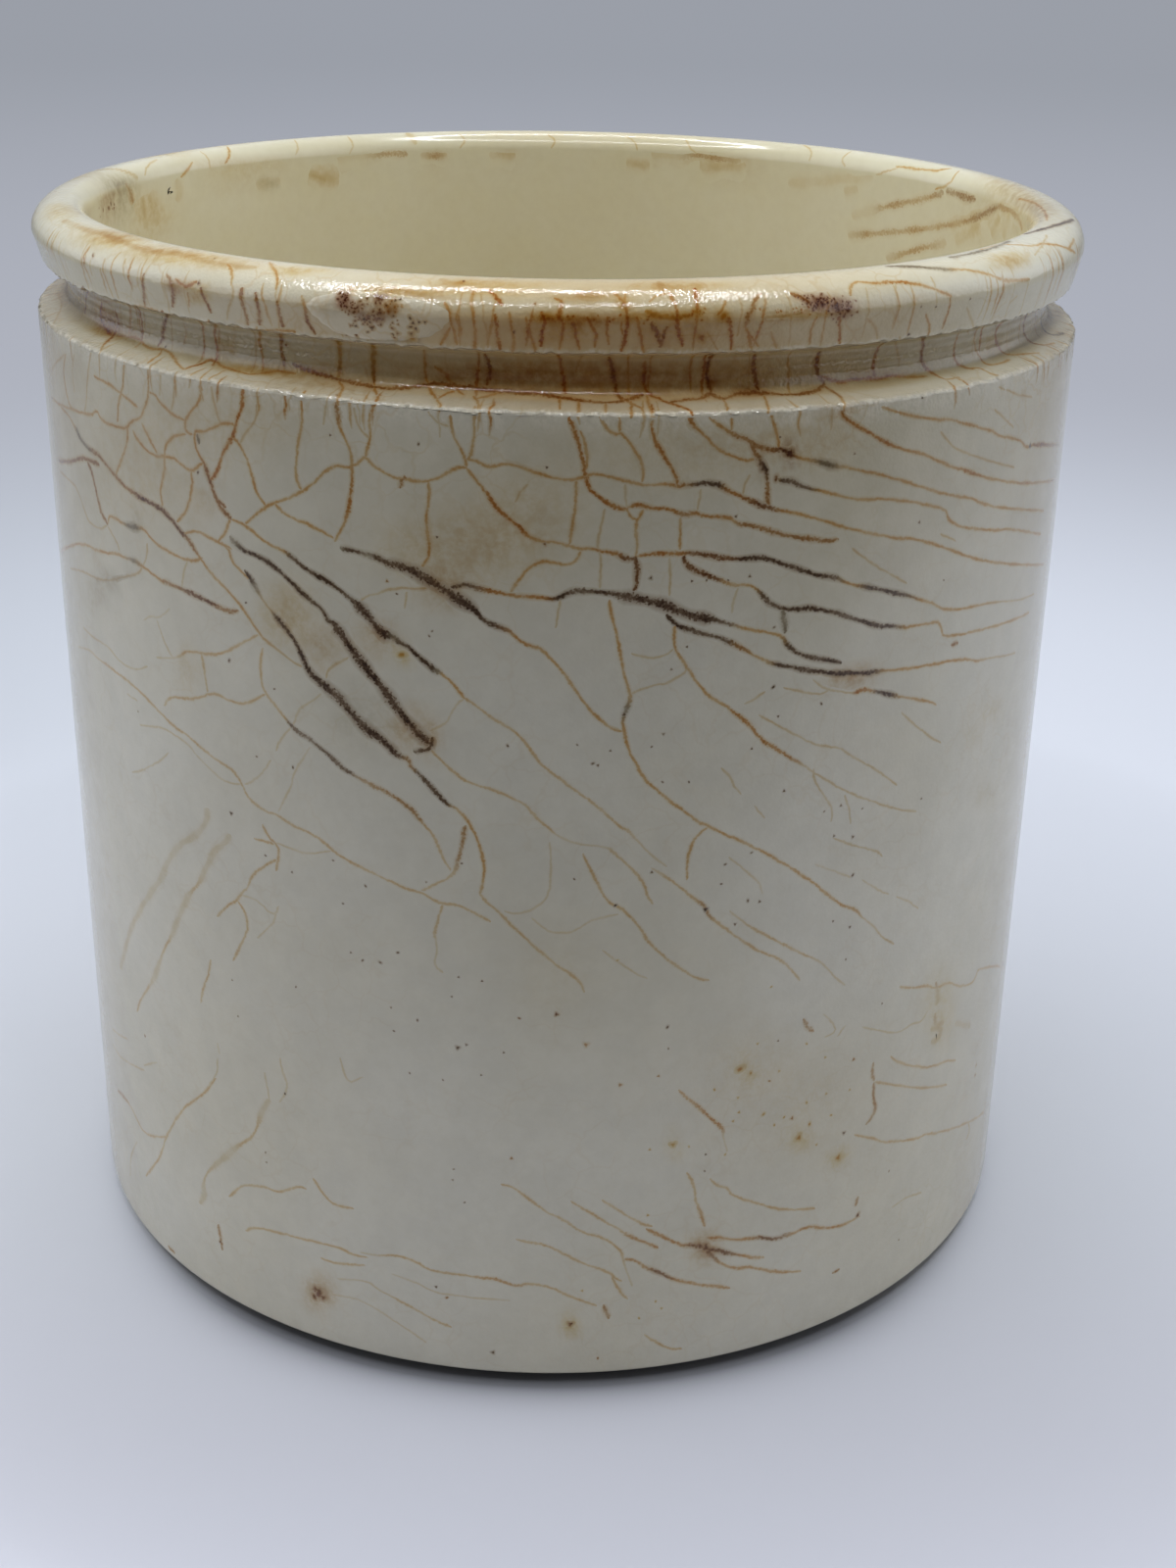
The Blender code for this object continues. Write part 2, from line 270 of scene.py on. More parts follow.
# Cracks on the middle of the wall
MIDDLE: tuple[Stroke, ...] = (
    (AMBER, 263,648, 228,666, 218,668, 195,665, 188,666, FAINT, 180,671, 160,671),
    (FAINT, 160,632, 168,655, 173,666, 178,672),
    (FAINT, 147,633, 153,629, 161,630, 168,626, 173,621),
    (AMBER, 206,668, 212,706),
    (AMBER, 168,720, 174,712, 198,713, 218,708, 235,715, 247,718, 256,716, 271,708),
    (AMBER, 268,662, 266,675, 266,688, 268,700, 272,708, 292,734, DARK, 295,737, 304,747, 314,753,
     334,769, 348,782, 358,789, BROWN, 370,796, 395,809, 418,824, 426,834, AMBER, 434,843, 442,852,
     452,875, 460,888),
    (FAINT, 80,660, 92,664, 100,672, AMBER, 110,679, 140,703, 180,743, 192,751, 215,771, 238,787,
     249,804, 253,813, 260,820, 270,827, 283,832, 297,841, 325,855, 345,872, 400,900, 415,907,
     430,911, 442,918, 452,922, 463,923, 475,927, 500,940),
    (FAINT, 85,640, 95,650, 110,660, 120,672, 130,680, 140,683, 150,680),
    (FAINT, 200,770, 218,788, 228,796, 240,800, 248,800),
    (FAINT, 327,708, 318,716, 308,722, 302,730, 300,738, 285,757, 282,766),
    (FAINT, 276,776, 268,788, 258,797, 250,800),
    (FAINT, 316,763, 300,790, 297,802, 284,828),
    (FAINT, 143,740, 168,744, 192,760, 200,770),
    (FAINT, 135,788, 145,786, 165,775, 172,768),
    (FAINT, 130,708, 140,715),
    (SOFT, 212,825, 210,838, 202,850, 183,863, 176,872, 170,882, 166,893, 150,917, 138,938, 133,950,
     123,988),
    (AMBER, 440,766, 468,792, 478,798, 503,806, 528,817, 538,823, 544,831, 560,845, FAINT, 568,852,
     578,857, 590,861, 620,865, AMBER, 625,869, 644,886, 652,895, 658,905, 661,915, 666,922),
    (AMBER, 474,713, 480,716, 500,731, 524,746, 534,755, 548,775, 556,783, 612,825, 632,843,
     640,847, FAINT, 655,863, 668,875, 680,884),
    (FAINT, 474,713, 466,719, 455,737, 440,745),
    (BROWN, 475,843, 467,880, AMBER, 462,892, 453,898, 430,909),
    (FAINT, 561,860, 562,875, 561,905, 556,918, 548,925, 538,930, 525,932, 515,930),
    (SOFT, 235,852, 228,861, 218,870, 207,893, AMBER, 200,905, SOFT, 192,915, 176,952, AMBER,
     171,962, 166,973, SOFT, 162,985, 157,998, AMBER, 150,1010, 143,1022, 140,1032),
    (FAINT, 282,860, 303,868, 315,871, 338,868),
    (AMBER, 268,842, 274,853, 284,866, 282,888),
    (AMBER, 260,856, 280,861),
    (AMBER, 282,877, 260,891, 252,906, 246,912, 242,919, 235,922, 222,935),
    (AMBER, 242,919, 248,927, 252,938, 252,950, 238,980),
    (FAINT, 246,913, 258,917, 268,924, 274,930, 281,932, 284,925),
    (FAINT, 282,932, 278,942, 263,957),
    (AMBER, 215,980, 213,992, 206,1015, 205,1023),
    (FAINT, 222,1065, 224,1075),
    (FAINT, 222,1080, 221,1095, 208,1115),
    (FAINT, 115,1065, 122,1077, 138,1088, 147,1092),
    (FAINT, 147,1087, 160,1084),
    (FAINT, 115,1050, 125,1058, 130,1060),
    (FAINT, 286,1080, 288,1092, 292,1104),
    (FAINT, 347,1080, 356,1103, 370,1099),
    (AMBER, 490,912, 498,922, 508,930, 527,949, 568,985, 577,990, 592,1003, 596,1012),
    (AMBER, 452,922, 443,955, FAINT, 445,960, 446,970, 444,985, 452,992),
    (FAINT, 543,937, 560,950, 572,952, 585,950, 605,939, 630,933),
    (AMBER, 595,872, 620,919, 635,928, 650,943, 663,962, 680,978, 705,995, 715,999, 723,1000),
    (FAINT, 615,970, 648,993, 660,998),
    (FAINT, 665,886, AMBER, 680,895, 710,918, BROWN, 718,924, 722,932, AMBER, 730,940, 762,963,
     772,969, 795,979, 803,985, 816,1000),
    (FAINT, 744,875, 765,892, 774,901, 778,912),
    (FAINT, 745,930, 755,938, AMBER, 768,947, 818,973, FAINT, 832,979, 840,984, 852,997, 862,1005),
    (FAINT, 832,882, 868,895),
    (FAINT, 880,898, 900,910, 907,912),
    (FAINT, 915,915, 925,919, 937,927),
    (BROWN, 820,1040, 824,1048, 830,1052),
    (FAINT, 840,1035, 848,1042, 852,1052, 842,1058),
    (FAINT, 862,1047, 855,1057),
    (FAINT, 880,1048, 905,1053, 918,1053, 930,1045, 940,1042, 946,1032),
    (AMBER, 918,1007, 930,1008, 945,1006, 955,1008, 968,1003, 978,1006, 990,1004, 995,998, 998,990,
     1015,986, 1025,987),
    (AMBER, 909,1078, 917,1084, 942,1089, 955,1087, 965,1083, 975,1082),
    (BROWN, 891,1085, 890,1095, 892,1102),
    (AMBER, 893,1104, 940,1110, 966,1107),
    (BROWN, 892,1105, 891,1118, 893,1132, 884,1147),
    (BROWN, 955,1003, SOFT, 957,1015, 956,1025),
    (BROWN, 954,1035, SOFT, 955,1045, 963,1043),
    (SOFT, 950,1050, 960,1050, 957,1060, 950,1063),
    (SOFT, 975,1044, 990,1047),
    (AMBER, 872,1158, 892,1162, 900,1165, 928,1163, 937,1161, 943,1158, 955,1156, 990,1144,
     1000,1138, 1007,1130, 1012,1120),
    (AMBER, 988,1145, 989,1155, 986,1162),
    (RUST, 693,1113, 737,1152, FAINT, 738,1160, 742,1175),
)
# Cracks on the lowest part of the wall
BOTTOM: tuple[Stroke, ...] = (
    (BROWN, 120,1112, 127,1120, AMBER, 134,1130, 145,1152, 152,1158, 162,1160, 170,1160),
    (AMBER, 220,1100, 213,1110, 205,1118, 187,1132, 169,1162, 166,1173, 161,1184, 149,1200),
    (SOFT, 275,1122, 267,1135, AMBER, 262,1150, 257,1160, 248,1166, SOFT, 240,1172, 222,1187, AMBER,
     214,1194, 209,1203, SOFT, 208,1213, 209,1218, 204,1228),
    (FAINT, 270,1095, 275,1122),
    (FAINT, 290,1095, 293,1110, 285,1125),
    (AMBER, 234,1221, 248,1210, 260,1210, 272,1212, 285,1216, 305,1211, 312,1213),
    (AMBER, 320,1203, 333,1222, 342,1229, 360,1233),
    (AMBER, 251,1256, 260,1253, 285,1258, 338,1271, 350,1275, 360,1280, 375,1283),
    (AMBER, 328,1284, 340,1288, 352,1290, 372,1291),
    (FAINT, 368,1278, 385,1281, AMBER, 400,1281, 412,1283, 425,1288, 437,1295, 450,1298, 480,1302,
     RUST, 492,1304, 505,1305, 527,1312, AMBER, 540,1310, 562,1314, 582,1323, 608,1332),
    (FAINT, 345,1305, 375,1308, 388,1317, 400,1323, AMBER, 413,1330, 448,1349, 460,1354),
    (FAINT, 340,1321, 370,1328, 418,1358, 435,1370),
    (FAINT, 400,1300, 425,1309, 438,1316, 452,1320, 520,1327),
    (BROWN, 172,1272, 178,1278),
    (BROWN, 223,1250, 227,1275),
    (AMBER, 512,1209, 522,1211, 560,1238, 572,1243, 592,1256, 614,1263, 622,1267, 630,1273,
     634,1278, FAINT, 637,1290, 645,1312),
    (AMBER, 527,1265, 553,1270, 565,1274, 588,1286, 622,1299, 629,1305, 634,1307),
    (AMBER, 624,1303, 636,1322, 640,1325),
    (AMBER, 583,1226, 634,1256, RUST, 640,1260, 671,1273),
    (AMBER, 615,1225, 648,1245, 658,1250, 665,1251),
    (RUST, 660,1254, 695,1270, UMBER, 708,1271, 745,1279, RUST, 757,1281, 768,1283, 779,1283),
    (RUST, 637,1285, 647,1286, 657,1292, UMBER, 668,1297, 680,1302, RUST, 690,1306, 702,1309,
     744,1314),
    (RUST, 723,1263, 735,1263, 748,1265, 762,1264, UMBER, 778,1263, 790,1264, 799,1262, RUST,
     810,1258, 818,1254, 828,1252, 840,1253, 852,1252, AMBER, 862,1249, 877,1241),
    (UMBER, 721,1276, 728,1283, RUST, 735,1289, 752,1294, 765,1293, 787,1297, 800,1298, AMBER,
     817,1297),
    (AMBER, 701,1197, 706,1205, 709,1215, 710,1225, RUST, 714,1235, 719,1251),
    (AMBER, 725,1203, 731,1209, 741,1212, 747,1219, 770,1227, 798,1234, 831,1233),
    (BROWN, 875,1222, 873,1230),
    (BROWN, 850,1299, 856,1295),
    (BROWN, 616,1332, 621,1345),
    (AMBER, 658,1362, 675,1373, 685,1376, 695,1376),
    (FAINT, 910,1232, 925,1222, 940,1217),
    (FAINT, 140,1165, 134,1180, 133,1200),
)
# Cracks on the rim, the neck and the shoulder
COLLAR_LEFT: tuple[Stroke, ...] = (
    (AMBER, 232,270, 236,275, 237,283, 236,290),
    (AMBER, 275,268, 280,275, 283,285, 282,295),
    (FAINT, 94,262, 94,280),
    (FAINT, 128,265, 128,285),
    (BROWN, 147,280, 146,290, 148,312),
    (BROWN, 170,280, 175,290, 177,305, 176,312),
    (RUST, 180,285, 190,292, 200,288),
    (BROWN, 205,295, 215,318),
    (AMBER, 192,300, 193,312),
    (FAINT, 237,290, 238,300, 234,312, 232,325),
    (BROWN, 247,295, 253,330),
    (BROWN, 261,300, 264,315, 265,330),
    (BROWN, 283,308, 288,332),
    (FAINT, 75,290, 88,297, 120,308, AMBER, 145,313, 225,330, 275,337, 300,338),
    (BROWN, 85,293, 88,303, 87,318),
    (FAINT, 60,300, 63,310, 60,320, 55,330),
    (RUST, 104,310, 103,322, 105,330, 113,342),
    (RUST, 118,318, 121,328, 118,338, 108,350, AMBER, 103,358),
    (FAINT, 147,320, 148,335),
    (BROWN, 166,318, 168,330, 166,345, 162,352),
    (RUST, 213,327, 219,340, 221,350, 218,372),
    (AMBER, 262,335, 265,345, 267,360, 267,380),
    (BROWN, 283,340, 287,350, 290,372),
    (FAINT, 188,332, 190,340, 188,350),
    (AMBER, 120,343, 140,345, 148,352, 155,356, 168,357, 175,362, 188,377, RUST, 196,374, 215,367,
     AMBER, 225,373, 245,380, 255,382, 280,379, 300,381),
    (AMBER, 152,370, 160,364, 165,358),
    (SOFT, 104,237, 152,256, 175,258, 200,263, 220,269, 240,272, 260,273),
    (SOFT, 65,225, 100,238),
)
COLLAR_FRONT: tuple[Stroke, ...] = (
    (AMBER, 308,303, 311,313, BROWN, 313,325, 321,340),
    (UMBER, 347,300, 346,308, 358,320),
    (AMBER, 399,315, 399,338),
    (SOFT, 350,298, 362,294, 400,296, 415,297, 440,304),
    (AMBER, 454,310, 458,318, 466,350),
    (AMBER, 459,335, 450,350),
    (AMBER, 483,298, 481,308, 483,320, 485,350, 484,356),
    (RUST, 500,297, 512,310),
    (RUST, 505,322, 510,356),
    (AMBER, 520,320, 524,348, 523,360),
    (AMBER, 537,325, 546,358),
    (SOFT, 450,285, 460,289, 472,288),
    (OLIVE, 341,347, 347,358, 347,372, 345,385),
    (OLIVE, 380,352, 381,378, BROWN, 382,390),
    (AMBER, 433,358, 434,380, 437,392, 449,413, 448,420),
    (AMBER, 445,375, 455,382, 460,390, 472,402),
    (BROWN, 495,362, 499,372, 500,382, 497,392),
    (BROWN, 300,372, 330,383, 390,396, 410,396, 430,393, 450,392, 530,401, 550,401),
    (AMBER, 446,407, 455,402, 462,400),
    (AMBER, 484,405, 488,412, 487,420),
    (AMBER, 485,407, 510,400),
    (AMBER, 382,392, 384,402),
    (AMBER, 345,388, 350,395, 347,402, 345,412),
    (AMBER, 567,305, RUST, 573,308, 571,318, 571,325, AMBER, 575,332, 571,355),
    (RUST, 553,320, 556,328, 553,340, 552,352),
    (AMBER, 587,335, 588,345, 591,355),
    (AMBER, 600,325, 607,340, 607,353),
    (AMBER, 620,325, 619,337, 621,350),
    (RUST, 640,323, 640,335, 634,357),
    (AMBER, 634,330, 635,340),
    (AMBER, 650,325, 657,360),
    (AMBER, 627,300, 638,310),
    (AMBER, 638,300, 638,310, RUST, 640,323),
    (OLIVE, 660,318, 672,322, 690,324, 703,322),
    (RUST, 684,300, 691,320, 691,330, 696,352),
    (BROWN, 665,330, 670,340, 674,352),
    (BROWN, 680,335, 674,353),
    (AMBER, 664,307, 670,302, 680,300),
    (RUST, 709,295, 711,318),
    (FAINT, 722,340, 732,356),
    (AMBER, 740,308, 737,315, 733,320),
    (RUST, 743,325, 746,340, 746,355),
    (BROWN, 776,300, 771,305, 768,315, 763,325, AMBER, 761,335, 773,352),
    (AMBER, 761,335, 765,345, 767,357),
    (SOFT, 780,325, 805,322, 825,318),
    (FAINT, 787,340, 792,355),
    (SOFT, 672,288, 678,297),
    (SOFT, 590,300, 602,303, 615,301),
    (RUST, 569,362, 573,375, 577,400),
    (FAINT, 597,362, 588,378),
    (BROWN, 622,365, 628,395, 632,405, AMBER, 645,412, 655,417),
    (RUST, 658,370, 657,385, 658,395, 663,402, 673,408, 700,417, 706,423),
    (BROWN, 728,362, 721,382, 726,400),
    (BROWN, 770,362, 769,375, 771,388, 774,398),
    (BROWN, 550,401, 560,404, 580,407, 620,411, 655,403),
    (BROWN, 683,411, 700,408, 715,407, 726,402, 737,407, 750,403, 770,401, 800,403),
    (AMBER, 571,405, 571,417),
    (AMBER, 590,408, 591,420),
    (AMBER, 618,412, 618,420),
    (AMBER, 644,410, 644,425),
    (AMBER, 660,405, 665,425),
    (AMBER, 727,403, 738,408, 742,418),
    (AMBER, 780,405, 784,420),
)
COLLAR_RIGHT: tuple[Stroke, ...] = (
    (BROWN, 808,300, 820,305, 826,310),
    (AMBER, 833,325, 828,335, 826,350),
    (RUST, 856,325, 857,350),
    (FAINT, 885,325, 893,335, 895,345),
    (GREY, 905,272, 925,272, 965,275, AMBER, 980,275, 1005,279, 1025,286, 1050,285),
    (AMBER, 868,300, 868,292, 875,288, 890,289, RUST, 905,288, 920,288, AMBER, 935,290, 950,294,
     970,302),
    (AMBER, 1000,255, 1020,250, 1050,251, 1065,249, 1090,254, 1097,258),
    (GREY, 970,263, 1010,254, 1030,246),
    (DARK, 1046,239, 1095,224),
    (AMBER, 945,322, 948,332, 947,342),
    (FAINT, 987,315, 988,340),
    (FAINT, 1030,310, 1037,303),
    (BROWN, 836,360, 833,372, 835,383, 840,390, 838,395, 833,399, 820,402, 800,403),
    (RUST, 838,384, 858,390, 870,387, 900,386, 908,383, AMBER, 930,385, 945,384),
    (BROWN, 842,395, 852,401, AMBER, 860,409, 860,420),
    (RUST, 902,350, 895,357, 892,367, 891,378, 895,388),
    (FAINT, 918,345, 916,360, 917,372),
    (RUST, 947,343, BROWN, 942,352, 940,362, 942,372, RUST, 947,378, 955,383, AMBER, 965,387,
     978,385),
    (AMBER, 977,342, 974,352, RUST, 973,362, 978,372, AMBER, 988,376, 1000,376, 1010,381, 1018,383),
    (AMBER, 998,335, 994,345, 995,355, 1000,365, 1008,372, 1020,371, 1030,367),
    (RUST, 1024,327, 1017,335, 1016,345, 1019,354, AMBER, 1025,361, 1035,362, 1060,360),
    (BROWN, 1048,320, 1044,330, 1045,340, 1050,348, 1057,351, AMBER, 1068,352, 1076,350),
    (GREY, 1062,318, 1062,328, 1066,338, 1075,342, 1085,340),
    (AMBER, 915,170, 955,174, 970,172, 985,168),
    (AMBER, 955,193, 970,186, 978,175),
    (FAINT, 895,178, 915,172),
    (AMBER, 1040,203, 1055,207, 1065,215, 1068,225),
    (FAINT, 1056,260, 1068,240),
    (AMBER, 1090,254, 1096,244),
    (SOFT, 100,174, 140,181),
    (AMBER, 196,166, 190,175, 185,180),
    (AMBER, 232,150, 234,158, 230,166),
    (FAINT, 205,155, 212,162, 214,170),
    (SOFT, 415,136, 424,146),
    (FAINT, 640,140, 648,146, 650,152),
    (FAINT, 700,143, 704,150, 710,156),
    (FAINT, 160,163, 150,170, 148,178),
    (FAINT, 300,143, 304,150, 302,157),
    (FAINT, 355,140, 360,148, 357,156),
    (FAINT, 470,138, 474,144, 470,150),
    (FAINT, 560,138, 566,144, 563,150),
    (FAINT, 820,148, 828,156, 826,163),
    (FAINT, 868,155, 860,162, 862,169),
)
# Stained cracks on the inside, below the mouth
INSIDE: tuple[Stroke, ...] = (
    (SOFT, 805,187, 830,186, 850,183, 890,180),
    (SOFT, 862,195, 875,193),
    (SOFT, 870,220, 890,215, BROWN, 900,212, 950,201, UMBER, 962,196),
    (UMBER, 966,195, 988,202, 995,203),
    (SOFT, 866,240, BROWN, 885,239, 930,235, 960,231, 985,226, UMBER, 1000,220, 1015,213, BROWN,
     1022,210),
    (SOFT, 905,264, BROWN, 918,260, 945,252, SOFT, 965,248),
    (SOFT, 975,245, 990,238, 1000,230),
    (SOFT, 1030,215, 1028,228, 1024,242),
    (SOFT, 1020,222, 1012,240),
    (BROWN, 1020,211, 1032,216, 1040,225, 1043,234),
    (SOFT, 145,202, 149,232),
    (SOFT, 152,200, 158,215, 160,230),
    (BROWN, 128,188, 133,196, 136,206),
    (SOFT, 180,184, 183,196, 180,204),
    (SOFT, 345,161, 370,158, BROWN, 395,157, 415,157),
    (SOFT, 430,158, BROWN, 442,159, SOFT, 455,157),
    (SOFT, 500,158, 525,157),
    (SOFT, 640,166, 662,169),
    (SOFT, 665,156, 690,158, BROWN, 710,158, 730,161, SOFT, 755,163),
    (SOFT, 715,170, 735,170, 760,168),
    (SOFT, 316,178, 330,183, 345,186),
    (SOFT, 262,188, 275,187, 285,184),
)
# Pinholes, pits and small spots: x, y and radius
SPOTS: tuple[Stroke, ...] = (
    (BLACK, 404,307,1.2, 409,306,1.4, 419,324,1.3, 422,329,1.5, 420,333,1.6, 428,328,1.3,
     425,334,1.2, 401,340,1.2, 379,334,1.3, 363,332,1.3, 354,341,1.1, 376,338,1.0, 350,303,1.6),
    (RUST, 422,347,2.6),
    (MAUVE, 325,1320,6.5, 322,1317,3, 329,1323,3),
    (DARK, 202,482,2, 427,453,2, 337,444,1.5, 405,606,1.5, 446,548,1.5, 558,477,1.5, 441,644,1.5,
     438,649,1.5, 518,761,2, 605,779,2.2, 610,781,1.8, 589,760,1.5, 623,766,1.5, 664,590,2.5,
     706,593,1.5, 721,592,1.5, 743,592,1.5, 765,588,2, 790,640,2, 796,446,1.5, 872,463,1.5,
     938,533,2, 963,592,1.5, 941,406,1.5, 701,660,1.5, 685,683,1.5, 789,701,2.5, 838,718,2,
     677,749,2, 665,762,1.5, 676,798,1.5, 703,798,1.5, 800,807,2, 767,870,2, 858,822,2, 841,828,1.5,
     880,825,1.5, 851,853,2, 870,854,2.5, 767,764,1.5, 794,731,1.5, 940,815,1.5, 870,893,2.5,
     637,729,3, 751,527,2, 1051,455,4, 169,334,2, 169,354,2, 219,264,1.5, 251,615,1.5, 234,674,2.5,
     141,726,1.5, 299,783,2, 236,830,2.5, 262,772,1.5, 280,703,1.5, 298,890,1.5, 340,878,1.5,
     373,904,2, 350,922,1.5, 271,873,1.5, 302,1007,1.5, 243,1037,1.5, 237,1000,1.5, 291,1116,2,
     370,980,2, 358,972,1.5, 435,900,1.5, 471,881,1.5, 406,972,2, 388,982,2.5, 426,1041,2,
     461,1017,1.5, 467,1069,3.2, 476,1066,2, 402,1052,1.5, 399,1028,1.5, 492,1001,1.5, 586,897,1.5,
     491,1097,1.5, 452,1102,1.5, 418,1095,1.5, 514,1074,1.5, 468,997,1.5, 763,919,2.5, 775,920,2,
     665,890,2, 740,882,2, 736,902,1.5, 750,943,2, 867,946,2, 850,940,1.5, 681,1048,2.5,
     682,1070,1.5, 794,1062,1.5, 863,979,1.5, 900,1024,1.5, 720,1178,1.5, 719,1195,1.5,
     907,1195,1.5, 917,1265,1.5, 628,924,2.5, 720,928,3.5, 861,1156,3, 503,1380,3, 445,1313,2,
     463,1193,1.5, 462,1204,1.5, 474,1227,1.5, 271,1176,1.5, 272,1186,1.5, 858,389,2, 908,383,2,
     955,313,1.5, 940,313,1.5, 990,305,1.5, 927,341,2.5, 372,325,2, 378,328,1.8, 380,334,2,
     364,332,1.8, 402,322,1.8, 376,338,1.6, 354,341,1.5, 402,341,1.5, 419,324,2.2, 422,329,2.2,
     428,328,2, 419,333,2, 425,335,2.2, 434,328,1.6, 409,306,2, 404,307,2, 400,308,1.8, 420,340,2.2,
     779,478,4.5, 1062,226,3, 596,600,1.5, 815,495,2.4, 825,498,2.4),
    (UMBER, 348,300,3, 388,305,4, 368,308,2.5, 362,318,2.5, 375,305,2.5, 395,312,2.5, 806,463,6,
     203,289,3, 95,261,3.5, 326,1319,8, 322,1315,5, 330,1324,5, 321,1323,4.5, 582,1351,4,
     720,1273,6, 714,1271,4, 727,1275,4, 473,287,2.2, 524,339,2.6, 875,1240,4, 792,488,4,
     556,555,2.5, 225,1267,3, 530,1039,2, 568,1035,3, 148,1057,2),
    (BROWN, 395,593,2, 598,1066,4, 633,1107,3, 871,1081,2.5, 785,1103,2, 610,1386,2, 522,1182,2.4,
     808,1141,3, 456,1324,2.5, 292,352,2.5, 546,310,2, 996,1087,3, 995,1097,3, 672,1098,2),
    (OLIVE, 755,1091,5, 766,1095,2.5, 779,1137,3, 826,1147,3, 815,1161,5, 855,1181,5, 687,1168,4,
     833,1168,2, 848,1138,2, 729,1112,2, 753,1120,2, 773,1065,2, 787,1007,2, 795,1093,2, 823,1065,2,
     842,1079,2, 867,1112,2, 843,1116,2, 823,1125,2.5, 663,1173,2, 748,1144,2, 754,1135,2,
     790,1148,2, 800,1140,2, 703,1170,2, 740,1178,2, 630,980,2, 594,1317,2, 669,1328,2, 675,1335,2,
     652,1345,2, 661,1240,2, 711,318,4.5, 738,323,4.5, 637,311,4.5, 585,331,5, 716,345,5, 421,345,3,
     410,668,5, 553,325,4, 559,325,4, 573,327,4, 581,326,4),
)
# Soft stains: x, y, half width, half height and strength, by what has soaked in
STAINS: tuple[Stroke, ...] = (
    (SOFT, 293,628,26,30,1.0, 470,560,75,34,0.9, 540,520,60,40,0.5, 192,682,14,22,0.45,
     1010,725,14,12,0.4, 992,750,10,12,0.3, 1005,810,13,12,0.3, 565,1000,45,50,0.15,
     800,1125,110,60,0.22, 770,1080,50,40,0.15, 110,240,40,9,1.0, 165,256,40,8,1.2,
     225,268,40,7,1.0, 600,302,40,6,1.0, 1030,267,18,8,1.2, 690,292,40,5,0.7, 420,300,40,5,0.8,
     250,168,60,8,0.5, 330,180,22,8,1.0, 150,215,25,20,0.8, 1060,215,20,16,0.8, 560,335,70,14,0.7,
     700,335,60,14,0.8, 200,300,30,10,0.5, 110,330,14,12,1.2, 820,450,60,30,0.5, 150,470,60,60,0.4,
     700,460,120,40,0.4, 240,420,80,40,0.4, 340,390,60,14,0.8, 1000,225,30,20,0.6),
    (GREY, 372,730,30,32,0.16, 98,604,10,18,0.25, 118,590,18,7,0.3, 137,536,7,5,0.6,
     275,188,14,6,0.25, 1080,320,6,9,0.5, 1062,213,14,12,0.3, 845,472,14,4,0.3, 100,180,20,8,0.2,
     123,190,14,10,0.5, 385,314,30,12,0.3, 336,312,10,10,0.25),
    (BROWN, 398,314,11,8,0.55, 610,326,32,5,0.5, 630,386,200,16,0.55, 765,399,14,6,0.5,
     725,386,6,8,0.7, 720,1273,15,12,0.5, 326,1320,15,15,0.45, 441,757,10,10,0.4, 868,690,30,7,0.45,
     384,652,20,12,0.4, 420,745,22,20,0.3, 735,166,38,6,0.2, 655,169,20,5,0.15, 445,158,14,4,0.2,
     520,157,14,4,0.15, 206,520,14,10,0.25, 452,600,24,12,0.4, 330,660,20,18,0.25, 180,292,12,8,0.5,
     860,420,22,10,0.2, 500,385,60,12,0.3),
    (MAUVE, 838,309,14,8,0.9, 860,314,11,10,0.95, 822,304,12,4,0.4, 350,306,8,9,0.75,
     364,313,10,7,0.4, 380,322,17,8,0.3, 387,305,8,5,0.4),
    (UMBER, 110,212,9,11,0.6, 120,205,12,8,0.35, 118,222,12,8,0.3, 806,463,7,5,0.5,
     779,476,5,8,0.5),
    (OLIVE, 410,668,9,5,0.35, 762,1091,12,9,0.3, 815,1161,12,9,0.3, 855,1181,12,9,0.3,
     582,1351,9,9,0.5, 687,1168,10,8,0.3, 716,345,8,7,0.4, 421,344,5,8,0.5, 585,331,12,8,0.5,
     560,325,14,6,0.5, 637,311,9,7,0.5, 711,320,14,7,0.55, 738,323,8,8,0.6, 680,322,26,5,0.45,
     110,328,12,14,0.9, 475,288,12,4,0.4, 960,1030,16,40,0.15, 560,324,18,6,0.5, 600,327,14,8,0.45,
     650,324,20,5,0.45, 575,340,30,12,0.25, 500,290,60,5,0.35, 690,292,50,5,0.3, 118,243,26,7,0.45,
     190,262,40,6,0.4, 305,276,30,5,0.35, 202,300,12,10,0.4, 232,356,8,14,0.35, 560,372,60,12,0.2,
     300,380,40,5,0.3, 1030,262,22,7,0.2, 265,377,45,6,0.5, 820,322,30,4,0.4, 1015,352,20,12,0.3,
     905,383,40,5,0.4, 60,215,18,8,0.3, 72,300,14,12,0.3, 125,338,24,8,0.4, 95,318,12,10,0.3,
     500,298,50,4,0.3, 400,298,50,4,0.3),
)
# Grains of dirt in worn places: x, y, half width, half height and how many
GRAINS: tuple[Stroke, ...] = (
    (MAUVE, 838,309,14,8,50, 861,314,11,10,46, 820,303,14,4,12, 351,306,8,10,34, 365,314,10,8,20,
     380,324,16,8,34, 387,305,8,5,12, 806,463,6,5,8, 110,212,7,9,10),
    (RUST, 800,317,26,4,16, 632,325,70,5,26, 711,322,14,8,12, 400,314,13,8,16, 380,296,30,3,12),
    (UMBER, 374,332,18,8,12, 402,334,12,10,8),
)
# The edges of a clear, raised run of glaze on the rim: left, right, top and bottom
RUN_EDGES = ((314.0, 318.0), (458.0, 331.0), (386.0, 297.0), (386.0, 347.0))


